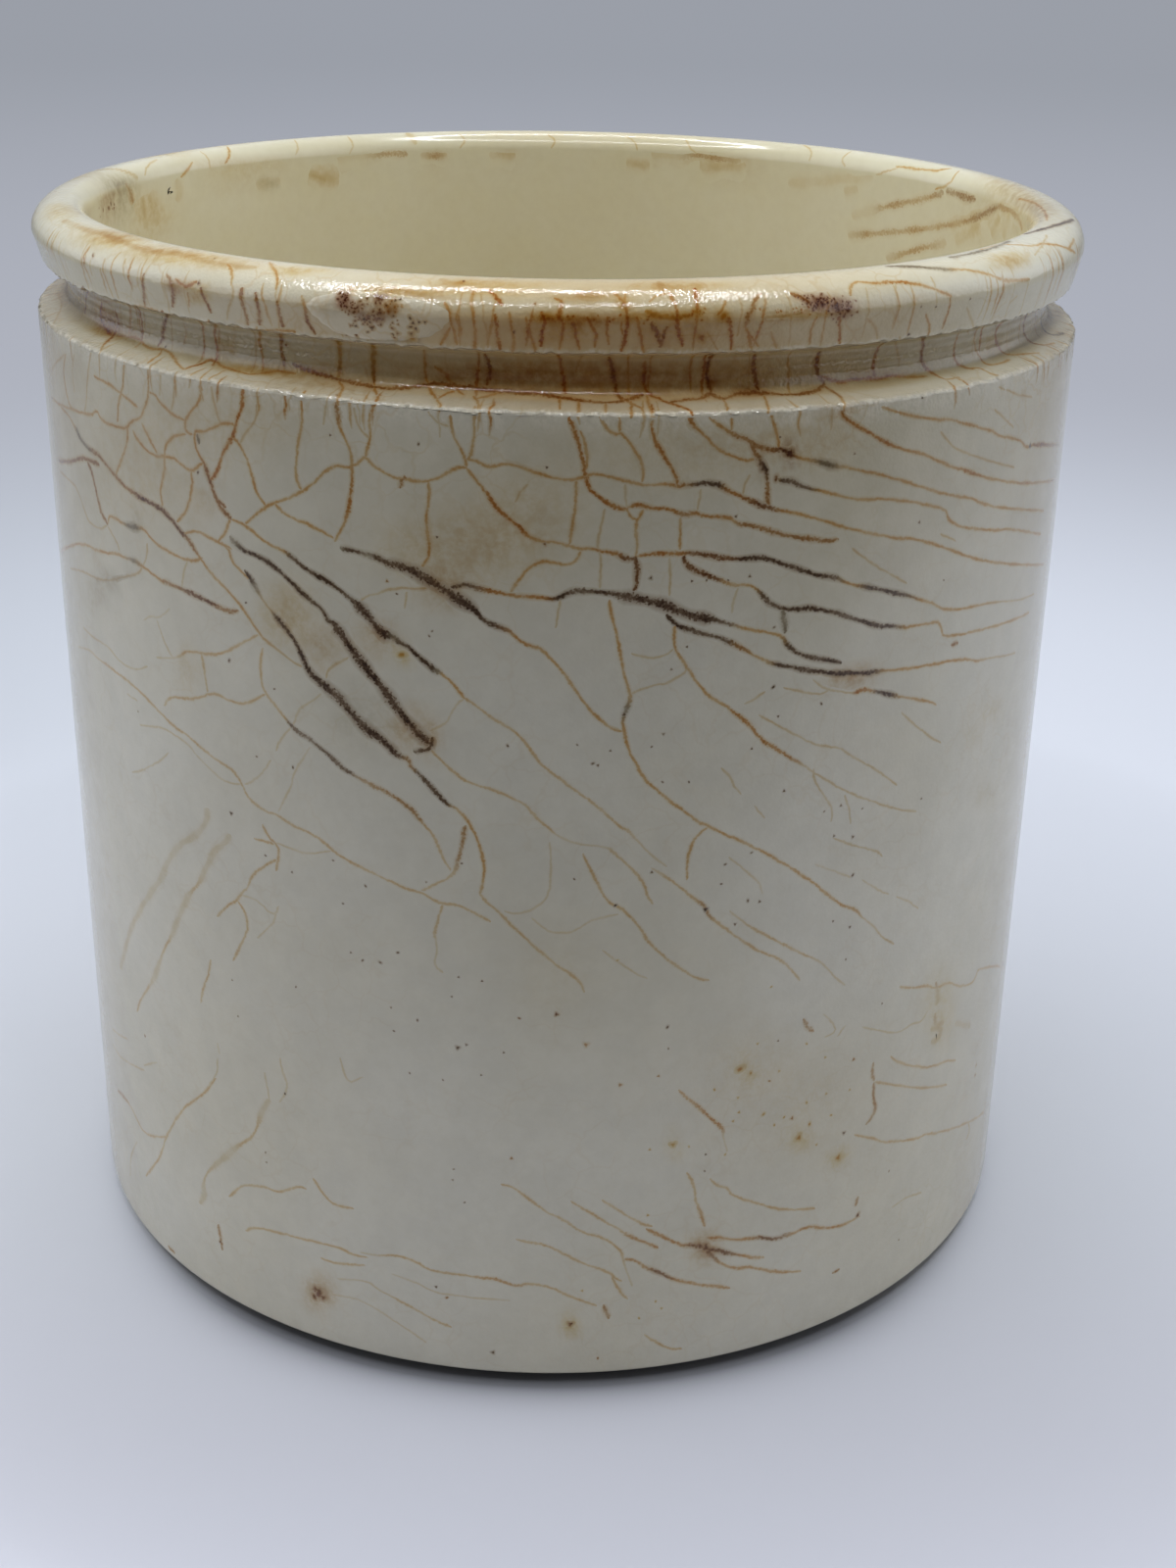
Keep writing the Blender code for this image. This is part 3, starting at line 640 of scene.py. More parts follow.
def smooth_step(value: Array, low: float, high: float) -> Array:
    """Rise from 0 at low to 1 at high along 3t^2 - 2t^3.

    Args:
        value: Numbers to ease.
        low: Where the rise starts; it may be the larger of the two.
        high: Where the rise ends.

    Returns:
        Numbers from 0 to 1.
    """
    part = np.clip((np.asarray(value, float) - low) / (high - low), 0.0, 1.0)
    return part * part * (3.0 - 2.0 * part)


def band(value: Array, start: float, full: float, fade: float, end: float) -> Array:
    """Rise from 0 at start to 1 at full, and fall from 1 at fade to 0 at end."""
    return smooth_step(value, start, full) * smooth_step(value, end, fade)


MOST_WAVES = 40


def ripple(angle: Array, slowest: int, fastest: int, seed: int) -> Array:
    """Sum whole-numbered cosine waves round the jar, so that the sum meets itself.

    Args:
        angle: Angles round the jar.
        slowest: Fewest waves in one turn.
        fastest: Most waves in one turn.
        seed: Seed of the waves' phases and weights.

    Returns:
        Numbers of about -1 to 1.
    """
    draw = np.random.default_rng(seed)
    counts = np.arange(slowest, fastest + 1)
    if len(counts) > MOST_WAVES:
        counts = np.sort(draw.choice(counts, MOST_WAVES, replace=False))
    phases = draw.uniform(0.0, FULL_TURN, len(counts))
    weights = draw.uniform(0.4, 1.0, len(counts))
    waves = np.cos(np.multiply.outer(angle, counts) + phases) * weights
    return waves.sum(axis=-1) / (1.6 * math.sqrt((weights ** 2).sum() / 2.0) + 1e-9)


@dataclass(frozen=True)
class PhotoCamera:
    """The camera that took the photograph, as fitted to the jar's outlines."""

    focal_px: float = 2245.5
    width_px: float = 1200.0
    height_px: float = 1600.0
    distance: float = 211.21
    height: float = 130.37
    pan: float = 0.016983
    pitch: float = 0.406267
    roll: float = 0.017778
    sensor_mm: float = 36.0
    nearest_m: float = 0.01
    farthest_m: float = 20.0

    def axes(self) -> tuple[Array, Array, Array]:
        """Return the camera's axes.

        Returns:
            The right, up and forward directions.
        """
        level = math.cos(self.pitch)
        forward = np.array([math.sin(self.pan) * level, math.cos(self.pan) * level,
                            -math.sin(self.pitch)])
        right = np.array([math.cos(self.pan), -math.sin(self.pan), 0.0])
        up = np.cross(right, forward)
        cos_r, sin_r = math.cos(self.roll), math.sin(self.roll)
        return right * cos_r + up * sin_r, up * cos_r - right * sin_r, forward

    def place(self) -> Array:
        """Return where the camera stands."""
        return np.array([0.0, -self.distance, self.height])

    def rays(self, pixels: Array) -> Array:
        """Return one unit direction for each pixel.

        Args:
            pixels: Rows of (x, y).

        Returns:
            Rows of directions.
        """
        right, up, forward = self.axes()
        across = (pixels[:, :1] - self.width_px / 2.0) / self.focal_px
        down = (pixels[:, 1:] - self.height_px / 2.0) / self.focal_px
        rays = forward + across * right - down * up
        return rays / np.linalg.norm(rays, axis=1, keepdims=True)

    def project(self, points: Array) -> Array:
        """Return the pixel that shows each point.

        Args:
            points: Rows of (x, y, z) in millimetres.

        Returns:
            Rows of (x, y) pixels.
        """
        right, up, forward = self.axes()
        offset = points - self.place()
        depth = offset @ forward
        return np.stack([self.width_px / 2.0 + self.focal_px * (offset @ right) / depth,
                         self.height_px / 2.0 - self.focal_px * (offset @ up) / depth], axis=1)

    def build(self) -> None:
        """Make the camera and set it as the scene's own."""
        data = bpy.data.cameras.new("photo_camera")
        data.sensor_width = self.sensor_mm
        data.lens = self.focal_px / self.height_px * self.sensor_mm
        data.clip_start = self.nearest_m
        data.clip_end = self.farthest_m
        camera = bpy.data.objects.new("photo_camera", data)
        right, up, forward = self.axes()
        turn = Matrix((right, up, -forward)).transposed().to_4x4()
        turn.translation = self.place() * MM
        camera.matrix_world = turn
        bpy.context.scene.collection.objects.link(camera)
        bpy.context.scene.camera = camera


@dataclass(frozen=True)
class TurnedForm:
    """The turned outline with the small unevenness of a hand-finished pot."""

    height: float = 99.97
    rim_radius: float = 48.46
    rim_thickness: float = 5.06
    crest_inset: float = 1.7
    rim_outer_drop: float = 2.5
    rim_inner_drop: float = 1.9
    rim_face_height: float = 2.45
    rim_face_taper: float = 0.7
    rim_edge_round: float = 0.22
    neck_depth: float = 2.8
    rim_undercut: float = 0.7
    neck_height: float = 3.0
    neck_upper_round: float = 0.8
    neck_lower_round: float = 1.2
    shoulder_radius: float = 48.46
    shoulder_drop: float = 0.7
    shoulder_edge_round: float = 0.42
    heel_radius: float = 47.95
    heel_height: float = 1.5
    heel_undercut: float = 2.1
    heel_edge_round: float = 0.35
    foot_width: float = 4.5
    foot_recess: float = 0.9
    foot_edge_round: float = 0.2
    wall_thickness: float = 5.2
    floor_thickness: float = 6.0
    inside_corner_round: float = 8.0
    groove_tilt_x: float = -0.0101
    groove_tilt_y: float = -0.0103
    groove_fade_height: float = 60.0
    outer_side: tuple[float, float] = (43.9, 45.2)
    rim_side: tuple[float, float] = (46.4, 47.3)
    shoulder_side: tuple[float, float] = (47.2, 48.2)
    neck_side: tuple[float, float] = (46.6, 45.9)
    neck_heights: tuple[float, float] = (80.0, 85.0)
    out_of_round: float = 0.06
    ridge_depth: float = 0.022
    ridge_pace: float = 7.4
    wear_depth: float = 0.05
    rim_wear_reach: float = 0.45
    shoulder_wear_reach: float = 0.5

    def corners(self) -> list[tuple[float, float, float, float]]:
        """List the outline's corners, from the inside floor's middle to the base's.

        Returns:
            Rows of (radius, height, round, spacing of points towards the next corner).
        """
        inner = self.heel_radius - self.wall_thickness
        mouth = self.rim_radius - self.rim_thickness
        face_top = self.height - self.rim_outer_drop
        edge = face_top - self.rim_face_height
        neck = self.rim_radius - self.neck_depth
        neck_top = edge - self.rim_undercut
        neck_foot = neck_top - self.neck_height
        foot = self.heel_radius - self.heel_undercut
        recess = foot - self.foot_width
        return [
            (0.0, self.floor_thickness, 0.0, 9.0),
            (inner, self.floor_thickness, self.inside_corner_round, 4.0),
            (mouth, self.height - self.rim_inner_drop, 0.0, 0.0),
            (self.rim_radius, face_top, 0.0, 0.3),
            (self.rim_radius - self.rim_face_taper, edge, self.rim_edge_round, 0.35),
            (neck, neck_top, self.neck_upper_round, 0.15),
            (neck, neck_foot, self.neck_lower_round, 0.35),
            (self.shoulder_radius, neck_foot - self.shoulder_drop, self.shoulder_edge_round, 1.65),
            (self.heel_radius, self.heel_height, self.heel_edge_round, 0.9),
            (foot, 0.0, self.foot_edge_round, 1.6),
            (recess, 0.0, self.foot_edge_round, 0.9),
            (recess - self.foot_recess, self.foot_recess, self.foot_edge_round, 9.0),
            (0.0, self.foot_recess, 0.0, 0.0),
        ]

    def outline(self) -> Array:
        """Work out the outline's points.

        Straight stretches are cut to their spacing, corners become arcs of their radius, and
        the rim's top is two quarter ellipses that meet at the crest.

        Returns:
            Rows of (radius, height).
        """
        corners = self.corners()
        points = [np.array([corners[0][:2]])]
        for index in range(1, len(corners) - 1):
            here = np.array(corners[index][:2])
            if index == 2:
                arc = self.rim_top()
            elif index == 3:
                continue
            else:
                arc = rounded(np.array(corners[index - 1][:2]), here,
                              np.array(corners[index + 1][:2]), corners[index][2])
            before = 3 if index == 4 else index - 1
            points.append(straight(points[-1][-1], arc[0], corners[before][3]))
            points.append(arc)
        points.append(straight(points[-1][-1], np.array(corners[-1][:2]), corners[-2][3]))
        points.append(np.array([corners[-1][:2]]))
        return np.concatenate(points)

    def rim_top(self) -> Array:
        """Work out the rim's rounded top, from the mouth over the crest to the outer face.

        Returns:
            Rows of (radius, height) on two quarter ellipses.
        """
        crest = self.rim_radius - self.rim_thickness + self.crest_inset
        inner = np.linspace(math.pi, math.pi / 2.0, 10)
        outer = np.linspace(math.pi / 2.0, 0.0, 15)[1:]
        return np.concatenate([
            np.stack([crest + self.crest_inset * np.cos(inner),
                      self.height - self.rim_inner_drop * (1.0 - np.sin(inner))], axis=1),
            np.stack([crest + (self.rim_radius - crest) * np.cos(outer),
                      self.height - self.rim_outer_drop * (1.0 - np.sin(outer))], axis=1),
        ])


def straight(start: Array, end: Array, spacing: float) -> Array:
    """Return the points between two ends of a line, without the ends.

    Args:
        start: First end.
        end: Last end.
        spacing: The most that two points may be apart; 0 leaves the line whole.

    Returns:
        Rows of (radius, height).
    """
    count = max(1, math.ceil(float(np.linalg.norm(end - start)) / spacing)) if spacing else 1
    share = np.linspace(0.0, 1.0, count + 1)[1:-1, None]
    return start + (end - start) * share


def rounded(before: Array, corner: Array, after: Array, radius: float) -> Array:
    """Return the arc that rounds a corner, about 13 degrees a step.

    Args:
        before: The corner before this one.
        corner: The corner to round.
        after: The corner after it.
        radius: The arc's radius, kept small enough for both stretches.

    Returns:
        Rows of (radius, height).
    """
    back, on = before - corner, after - corner
    back_length, on_length = np.linalg.norm(back), np.linalg.norm(on)
    back, on = back / back_length, on / on_length
    half = math.acos(float(np.clip(back @ on, -1.0, 1.0))) / 2.0
    radius = min(radius, 0.48 * min(back_length, on_length) * math.tan(half))
    centre = corner + (back + on) / np.linalg.norm(back + on) * radius / math.sin(half)
    first = corner + back * radius / math.tan(half) - centre
    last = corner + on * radius / math.tan(half) - centre
    turn = math.atan2(first[0] * last[1] - first[1] * last[0], float(first @ last))
    angle = np.linspace(0.0, turn, max(3, round(abs(turn) / 0.23)) + 1)
    return np.stack([centre[0] + first[0] * np.cos(angle) - first[1] * np.sin(angle),
                     centre[1] + first[0] * np.sin(angle) + first[1] * np.cos(angle)], axis=1)


# A picked pixel is aimed at again this often, by at most so many pixels each time
AIM_TRIES = 4
AIM_STEP = 3.0


class JarSurface:
    """The jar's skin as a function of (along, angle), and what a camera ray meets on it."""

    def __init__(self, form: TurnedForm, turns: int = 528) -> None:
        """Work out the outline, the grid of points on it and their outward normals.

        Args:
            form: Sizes of the pot.
            turns: How many points stand in one ring.
        """
        self.form = form
        self.outline = form.outline()
        steps = np.linalg.norm(np.diff(self.outline, axis=0), axis=1)
        self.along = np.concatenate([[0.0], np.cumsum(steps)])
        corners = form.corners()
        self.rim_edge_height = corners[4][1]
        self.shoulder_height = corners[7][1]
        self.crest_along = float(self.along[np.argmax(self.outline[:, 1])])
        outside = self.along > self.crest_along
        self.shoulder_along = float(np.interp(-self.shoulder_height, -self.outline[outside, 1],
                                              self.along[outside]))
        self.rows = self.along[1:-1]
        self.turns = turns
        angle = np.arange(turns) * (FULL_TURN / turns)
        self.points = self.place(*np.meshgrid(self.rows, angle, indexing="ij"))
        across = np.roll(self.points, -1, axis=1) - np.roll(self.points, 1, axis=1)
        down = np.gradient(self.points, axis=0)
        normals = np.cross(down, across)
        self.normals = normals / np.linalg.norm(normals, axis=2, keepdims=True)

    def warp(self, radius: Array, height: Array, angle: Array) -> tuple[Array, Array]:
        """Return how far the true surface lies from the turned one.

        The groove is cut a little askew to the rim, the pot is a little out of round, and the
        rim's lower edge and the shoulder's edge are worn: each wear is a bell in height times
        a sum of waves round the jar.

        Args:
            radius: Distances from the axis.
            height: Heights over the table.
            angle: Angles round the jar.

        Returns:
            The radial and the vertical shift.
        """
        form = self.form
        outside = smooth_step(radius, *form.outer_side)
        askew = (form.groove_tilt_x * radius * np.sin(angle)
                 + form.groove_tilt_y * form.rim_radius * (1.0 - np.cos(angle)))
        groove = outside * smooth_step(height, form.height - 0.6, self.rim_edge_height + 0.3)
        groove = groove * smooth_step(height, form.groove_fade_height, self.shoulder_height)
        oval = -form.out_of_round * (1.0 + ripple(angle, 2, 5, 11)) * outside
        rim_wear = np.exp(-((height - self.rim_edge_height) / form.rim_wear_reach) ** 2)
        rim_wear = form.wear_depth * (rim_wear * smooth_step(radius, *form.rim_side))
        crease_wear = np.exp(-((height - self.shoulder_height) / form.shoulder_wear_reach) ** 2)
        crease_wear = form.wear_depth * (crease_wear * smooth_step(radius, *form.shoulder_side))
        neck = smooth_step(radius, *form.neck_side) * outside
        neck = neck * smooth_step(height, *form.neck_heights)
        ridges = np.sin(height * form.ridge_pace + 0.8 * ripple(angle, 1, 6, 16)) - 1.0
        radial = oval + form.ridge_depth * neck * ridges
        radial = radial - crease_wear * (1.0 + ripple(angle, 60, 300, 12))
        nicks = ripple(angle, 12, 120, 13) + 1.5 * ripple(angle, 130, 290, 17)
        vertical = askew * groove + rim_wear * nicks
        vertical = vertical - crease_wear * (1.0 + ripple(angle, 40, 240, 14))
        return radial, vertical

    def place(self, along: Array, angle: Array) -> Array:
        """Return the true surface's point at each place.

        Args:
            along: Distances on the outline.
            angle: Angles round the jar.

        Returns:
            Points as (x, y, z).
        """
        radius = np.interp(along, self.along, self.outline[:, 0])
        height = np.interp(along, self.along, self.outline[:, 1])
        radial, vertical = self.warp(radius, height, angle)
        radius = radius + radial
        return np.stack([radius * np.sin(angle), -radius * np.cos(angle), height + vertical],
                        axis=-1)

    def radius(self, along: Array) -> Array:
        """Return the distance from the jar's axis."""
        return np.interp(along, self.along, self.outline[:, 0])

    def skin(self, along: Array, angle: Array) -> tuple[Array, Array]:
        """Return what the meshed skin has at each place, blended from its nearest four points.

        Args:
            along: Distances on the outline.
            angle: Angles round the jar.

        Returns:
            Points and unit normals.
        """
        row = np.clip(np.searchsorted(self.rows, along) - 1, 0, len(self.rows) - 2)
        down = (along - self.rows[row]) / (self.rows[row + 1] - self.rows[row])
        down = np.clip(down, 0.0, 1.0)[..., None]
        turn = np.mod(angle / FULL_TURN, 1.0) * self.turns
        column = np.floor(turn).astype(int)
        over = (turn - column)[..., None]
        column, following = column % self.turns, (column + 1) % self.turns
        found = []
        for grid in (self.points, self.normals):
            upper = grid[row, column] * (1.0 - over) + grid[row, following] * over
            lower = grid[row + 1, column] * (1.0 - over) + grid[row + 1, following] * over
            found.append(upper * (1.0 - down) + lower * down)
        return found[0], found[1] / np.linalg.norm(found[1], axis=-1, keepdims=True)

    def meet(self, camera: PhotoCamera, pixels: Array) -> tuple[Array, Array]:
        """Return the place of the first surface that each pixel's ray meets.

        Each stretch of the outline is a cone, so a ray meets it where a quadratic is zero.

        Args:
            camera: Where the rays start.
            pixels: Rows of (x, y).

        Returns:
            Along and angle for each pixel; along is NaN where the ray misses.
        """
        eye, rays = camera.place(), camera.rays(pixels)
        low, high = self.outline[:-1], self.outline[1:]
        rise = high[:, 1] - low[:, 1]
        rise = np.where(np.abs(rise) < TINY, TINY, rise)
        slope = (high[:, 0] - low[:, 0]) / rise
        at_eye = low[:, 0] + slope * (eye[2] - low[:, 1])
        flat = (rays[:, :2] ** 2).sum(axis=1)[:, None]
        a = flat - (slope * rays[:, 2:]) ** 2
        b = 2.0 * ((rays[:, :2] @ eye[:2])[:, None] - at_eye * slope * rays[:, 2:])
        c = (eye[:2] @ eye[:2]) - at_eye ** 2
        root = b * b - 4.0 * a * c
        best = np.full(len(rays), np.inf)
        best_along = np.full(len(rays), np.nan)
        side = np.stack([-(high[:, 1] - low[:, 1]), high[:, 0] - low[:, 0]], axis=1)
        for sign in (-1.0, 1.0):
            reach = (-b + sign * np.sqrt(np.maximum(root, 0.0))) / (2.0 * a)
            height = eye[2] + reach * rays[:, 2:]
            share = (height - low[:, 1]) / rise
            point = eye[:2] + reach[..., None] * rays[:, None, :2]
            outward = point / np.linalg.norm(point, axis=2, keepdims=True)
            level = (outward * rays[:, None, :2]).sum(axis=2)
            facing = side[:, 0] * level + side[:, 1] * rays[:, 2:]
            within = (share >= -TINY) & (share <= 1.0 + TINY)
            good = (root >= 0.0) & (reach > 0.0) & within & (facing < 0.0)
            reach = np.where(good, reach, np.inf)
            nearest = np.argmin(reach, axis=1)
            rows = np.arange(len(rays))
            closer = reach[rows, nearest] < best
            step = self.along[1:] - self.along[:-1]
            found = self.along[:-1][nearest] + share[rows, nearest] * step[nearest]
            best_along = np.where(closer, found, best_along)
            best = np.where(closer, reach[rows, nearest], best)
        reached = eye + np.where(np.isfinite(best), best, 0.0)[:, None] * rays
        return best_along, np.arctan2(reached[:, 0], -reached[:, 1])

    def trace(self, camera: PhotoCamera, pixels: Array) -> tuple[Array, Array]:
        """Return the place whose true, warped point shows at each pixel.

        Args:
            camera: The camera that shows it.
            pixels: Rows of (x, y).

        Returns:
            Along and angle for each pixel.
        """
        aim = pixels.copy()
        for _ in range(AIM_TRIES):
            along, angle = self.meet(camera, aim)
            miss = pixels - camera.project(self.place(along, angle))
            aim = aim + np.where(np.isfinite(miss), np.clip(miss, -AIM_STEP, AIM_STEP), 0.0)
        return self.meet(camera, aim)


@dataclass(frozen=True)
class Route:
    """A crack's course over the skin: (along, angle) points and what is soaked in at each."""

    along: Array
    angle: Array
    inks: tuple[Ink, ...]

    def mirrored(self, centre: float, spread: float, crease: float, heel: float) -> "Route":
        """Return the course turned over to another side of the jar and bent by slow waves.

        Args:
            centre: Angle on the jar that the front's middle moves to.
            spread: Factor on the angle; a negative one swaps left and right.
            crease: Along at the shoulder's edge, where the bending starts.
            heel: Along at the wall's lower end, where it ends.

        Returns:
            The new course.
        """
        angle = centre + self.angle * spread + 0.03 * np.sin(self.along * 0.21 + centre)
        held = (smooth_step(self.along, crease + 2.0, crease + 25.0)
                * smooth_step(self.along, heel - 1.0, heel - 15.0))
        along = self.along + held * (3.5 * np.sin(3.1 * angle + centre) + 1.5 * np.sin(7.3 * angle))
        return Route(along, angle, self.inks)

    def within(self, low: float, high: float) -> "Route | None":
        """Return the longest stretch between two angles, paler at both ends.

        Args:
            low: The least angle.
            high: The greatest angle.

        Returns:
            The stretch, or None if it has fewer than 3 points.
        """
        inside = (self.angle >= low) & (self.angle <= high)
        edges = np.flatnonzero(np.diff(np.concatenate([[0], inside.astype(int), [0]])))
        if not len(edges):
            return None
        spans = edges.reshape(-1, 2)
        start, end = spans[np.argmax(spans[:, 1] - spans[:, 0])]
        if end - start < 3:
            return None
        inks = (FAINT, *self.inks[start + 1:end - 1], FAINT)
        return Route(self.along[start:end], self.angle[start:end], inks)


def read_stroke(stroke: Stroke, size: int) -> list[tuple[Ink, tuple[float, ...]]]:
    """Split a stroke into groups of numbers, each with the ink named before it.

    Args:
        stroke: Inks and numbers in order.
        size: How many numbers make a group.

    Returns:
        One (ink, numbers) pair for each group.
    """
    found: list[tuple[Ink, tuple[float, ...]]] = []
    ink, numbers = FAINT, []
    for item in stroke:
        if isinstance(item, Ink):
            ink = item
            continue
        numbers.append(float(item))
        if len(numbers) == size:
            found.append((ink, tuple(numbers)))
            numbers = []
    return found


@dataclass(frozen=True)
class SkinTone:
    """What age has done to the glaze at each point, with painted shade in the yellowing colour:
    two colours to multiply by and two shares.
    """

    stain: Array
    age: Array
    craze: Array
    wear: Array

    def store(self, mesh: Mesh) -> None:
        """Write the tone to a mesh's points.

        Args:
            mesh: The mesh, with as many points as the tone.
        """
        for name in ("stain", "age"):
            store_colour(mesh, name, getattr(self, name).reshape(-1, 3))
        for name in ("craze", "wear"):
            store_share(mesh, name, getattr(self, name))


def store_share(mesh: Mesh, name: str, values: Array) -> None:
    """Store one number for each point of a mesh."""
    mesh.attributes.new(name, "FLOAT", "POINT").data.foreach_set("value", values.ravel())


def store_colour(mesh: Mesh, name: str, values: Array) -> None:
    """Store one colour for each point of a mesh."""
    full = np.concatenate([values, np.ones((len(values), 1))], axis=1)
    mesh.attributes.new(name, "FLOAT_COLOR", "POINT").data.foreach_set("color", full.ravel())


@dataclass(frozen=True)
class AgeStainAndShade:
    """Broad stains, as the share of light that the glaze still sends back at each place, and the
    even yellowing, which also holds painted shade and painted light.
    """

    surface: JarSurface
    centres: Array
    shapes: Array
    depths: Array
    back_share: float = 0.8
    reach_along: float = 25.0
    reach_angle: float = 0.6
    bell_power: float = 1.3

    @classmethod
    def picked(cls, surface: JarSurface, camera: PhotoCamera) -> "AgeStainAndShade":
        """Carry the picked stains from the view to the skin, with a mirrored set at the back.

        A stain is an ellipse in the view; its shape on the skin follows from how far a step
        of two pixels moves on it.

        Args:
            surface: The skin.
            camera: The camera in whose view they were picked.

        Returns:
            The stains of the whole jar.
        """
        picks = [pair for stroke in STAINS for pair in read_stroke(stroke, 5)]
        values = np.array([numbers for _, numbers in picks])
        centre = values[:, :2]
        spots = [np.stack(surface.trace(camera, centre + np.array(step)), axis=1)
                 for step in ((0.0, 0.0), (2.0, 0.0), (0.0, 2.0))]
        radius = surface.radius(spots[0][:, 0])
        scale = np.stack([np.ones(len(radius)), radius], axis=1)
        right = (spots[1] - spots[0]) * scale / 2.0
        down = (spots[2] - spots[0]) * scale / 2.0
        shapes = np.linalg.inv(np.stack([right * values[:, 2:3], down * values[:, 3:4]], axis=2))
        depths = values[:, 4:] * -np.log(np.array([ink.value.through for ink, _ in picks]))
        seen = np.isfinite(shapes).all(axis=(1, 2))
        centres, shapes, depths = spots[0][seen], shapes[seen], depths[seen]
        back = centres * np.array([1.0, BACK_SPREAD]) + np.array([0.0, BACK_CENTRE])
        return cls(surface, np.concatenate([centres, back]),
                   np.concatenate([shapes, shapes * np.array([1.0, -1.0])]),
                   np.concatenate([depths, depths * cls.back_share]))

    def at(self, along: Array, angle: Array) -> SkinTone:
        """Return the glaze's tone at each place, where each stain falls off as a rounded bell.

        Args:
            along: Distances on the outline.
            angle: Angles round the jar.

        Returns:
            Stain, yellowing with painted shade and painted light, crazing and wear.
        """
        along, angle = np.broadcast_arrays(along, angle)
        dark = np.zeros(along.shape + (3,))
        radius = self.surface.radius(along)
        for centre, shape, depth in zip(self.centres, self.shapes, self.depths):
            turned = np.mod(angle - centre[1] + math.pi, FULL_TURN) - math.pi
            near = np.abs(along - centre[0]) < self.reach_along
            near = near & (np.abs(turned) < self.reach_angle)
            step = np.stack([(along - centre[0])[near], (turned * radius)[near]], axis=1) @ shape.T
            dark[near] += np.exp(-((step ** 2).sum(axis=1)) ** self.bell_power)[:, None] * depth
        surface = self.surface
        crest, crease = surface.crest_along, surface.shoulder_along
        collar = band(along, crest - 1.0, crest + 1.5, crease - 0.5, crease + 9.0)
        craze = smooth_step(along, crest - 2.0, crest) * (0.13 + 0.25 * collar)
        edge = np.exp(-((along - crease) / 0.4) ** 2)
        edge = edge + 0.7 * np.exp(-((along - crest - 7.1) / 0.25) ** 2)
        wear = np.clip(edge * (0.65 + 0.35 * ripple(angle, 20, 90, 15)), 0.0, 1.0)
        return SkinTone(np.exp(-dark), np.exp(-self.ageing_and_shade(along, angle)), craze, wear)

    def ageing_and_shade(self, along: Array, angle: Array) -> Array:
        """Return the even yellowing, with painted shade and painted light in it.

        The yellowing is deepest inside and on the neck. The front and, more weakly, the back are
        stained a deeper ochre than the sides. Each zone adds its own loss of red, green and blue,
        as the logarithm of the light lost. The outer wall is darker than the rim's top and the
        inside, and the wall, the rim's face and the neck are darker still at the sides: that is
        painted shade. The neck under the rim is lightened between the front and the sides: that is
        painted light. The wall is also darker towards its top.

        Args:
            along: Distances on the outline.
            angle: Angles round the jar.

        Returns:
            The summed loss of red, green and blue.
        """
        surface = self.surface
        crest, crease = surface.crest_along, surface.shoulder_along
        inside = smooth_step(along, crest + 0.5, crest - 2.8)
        rim = band(along, crest - 3.5, crest - 1.0, crest + 6.8, crest + 7.5)
        face = band(along, crest + 3.6, crest + 4.8, crest + 6.8, crest + 7.5)
        wall = smooth_step(along, crest + 6.8, crest + 7.5)
        neck = band(along, crest + 7.0, crest + 8.2, crease - 2.6, crease - 1.2)
        shoulder = band(along, crease - 2.6, crease - 1.6, crease - 0.4, crease + 0.2)
        upper = band(along, crease - 0.4, crease + 1.0, crease + 3.0, crease + 26.0)
        nearness = 0.5 + 0.5 * np.cos(angle)
        front = nearness ** 16 + 0.3 * (1.0 - nearness) ** 16
        between = (1.0 - front) * nearness ** 6
        side = smooth_step(np.abs(np.sin(angle)), 0.75, 1.0)
        under_rim = neck * smooth_step(along, crest + 10.5, crest + 7.5)
        uneven = 1.0 + 0.35 * ripple(angle, 3, 14, 21)
        # Each row: where it lies, and its loss of red, green and blue. The wall rows, the side rows
        # and the under-rim rows are painted shade and painted light.
        zones = (
            (inside, (0.02, 0.04, 0.17)),
            (rim, (0.08, 0.06, 0.07)), (rim * front * uneven, (0.22, 0.38, 0.66)),
            (face * uneven, (0.17, 0.22, 0.32)), (face * front, (-0.14, 0.0, 0.15)),
            # Painted shade: the rim's face darker at the sides
            (face * side, (0.10, 0.11, 0.18)),
            # Painted shade: the outer wall darker than the rim's top and the inside, more so at the
            # sides
            (wall, (0.262, 0.256, 0.235)), (wall * side, (0.19, 0.23, 0.30)),
            (neck * (1.0 - front) * uneven, (0.32, 0.43, 0.72)),
            (neck * front * uneven, (-0.14, 0.12, 0.62)),
            # Painted light under the rim between front and sides; painted shade under it at the
            # sides
            (under_rim * between, (-0.50, -0.55, -0.80)), (under_rim * side, (0.10, 0.13, 0.20)),
            (shoulder * (1.0 - front), (-0.14, -0.12, -0.05)),
            (shoulder * front * uneven, (0.12, 0.24, 0.45)),
            # The upper wall darker towards its top; painted shade at its sides
            (upper * uneven, (0.12, 0.15, 0.22)), (upper * side, (0.08, 0.12, 0.20)),
        )
        return sum(zone[..., None] * np.array(loss) for zone, loss in zones)


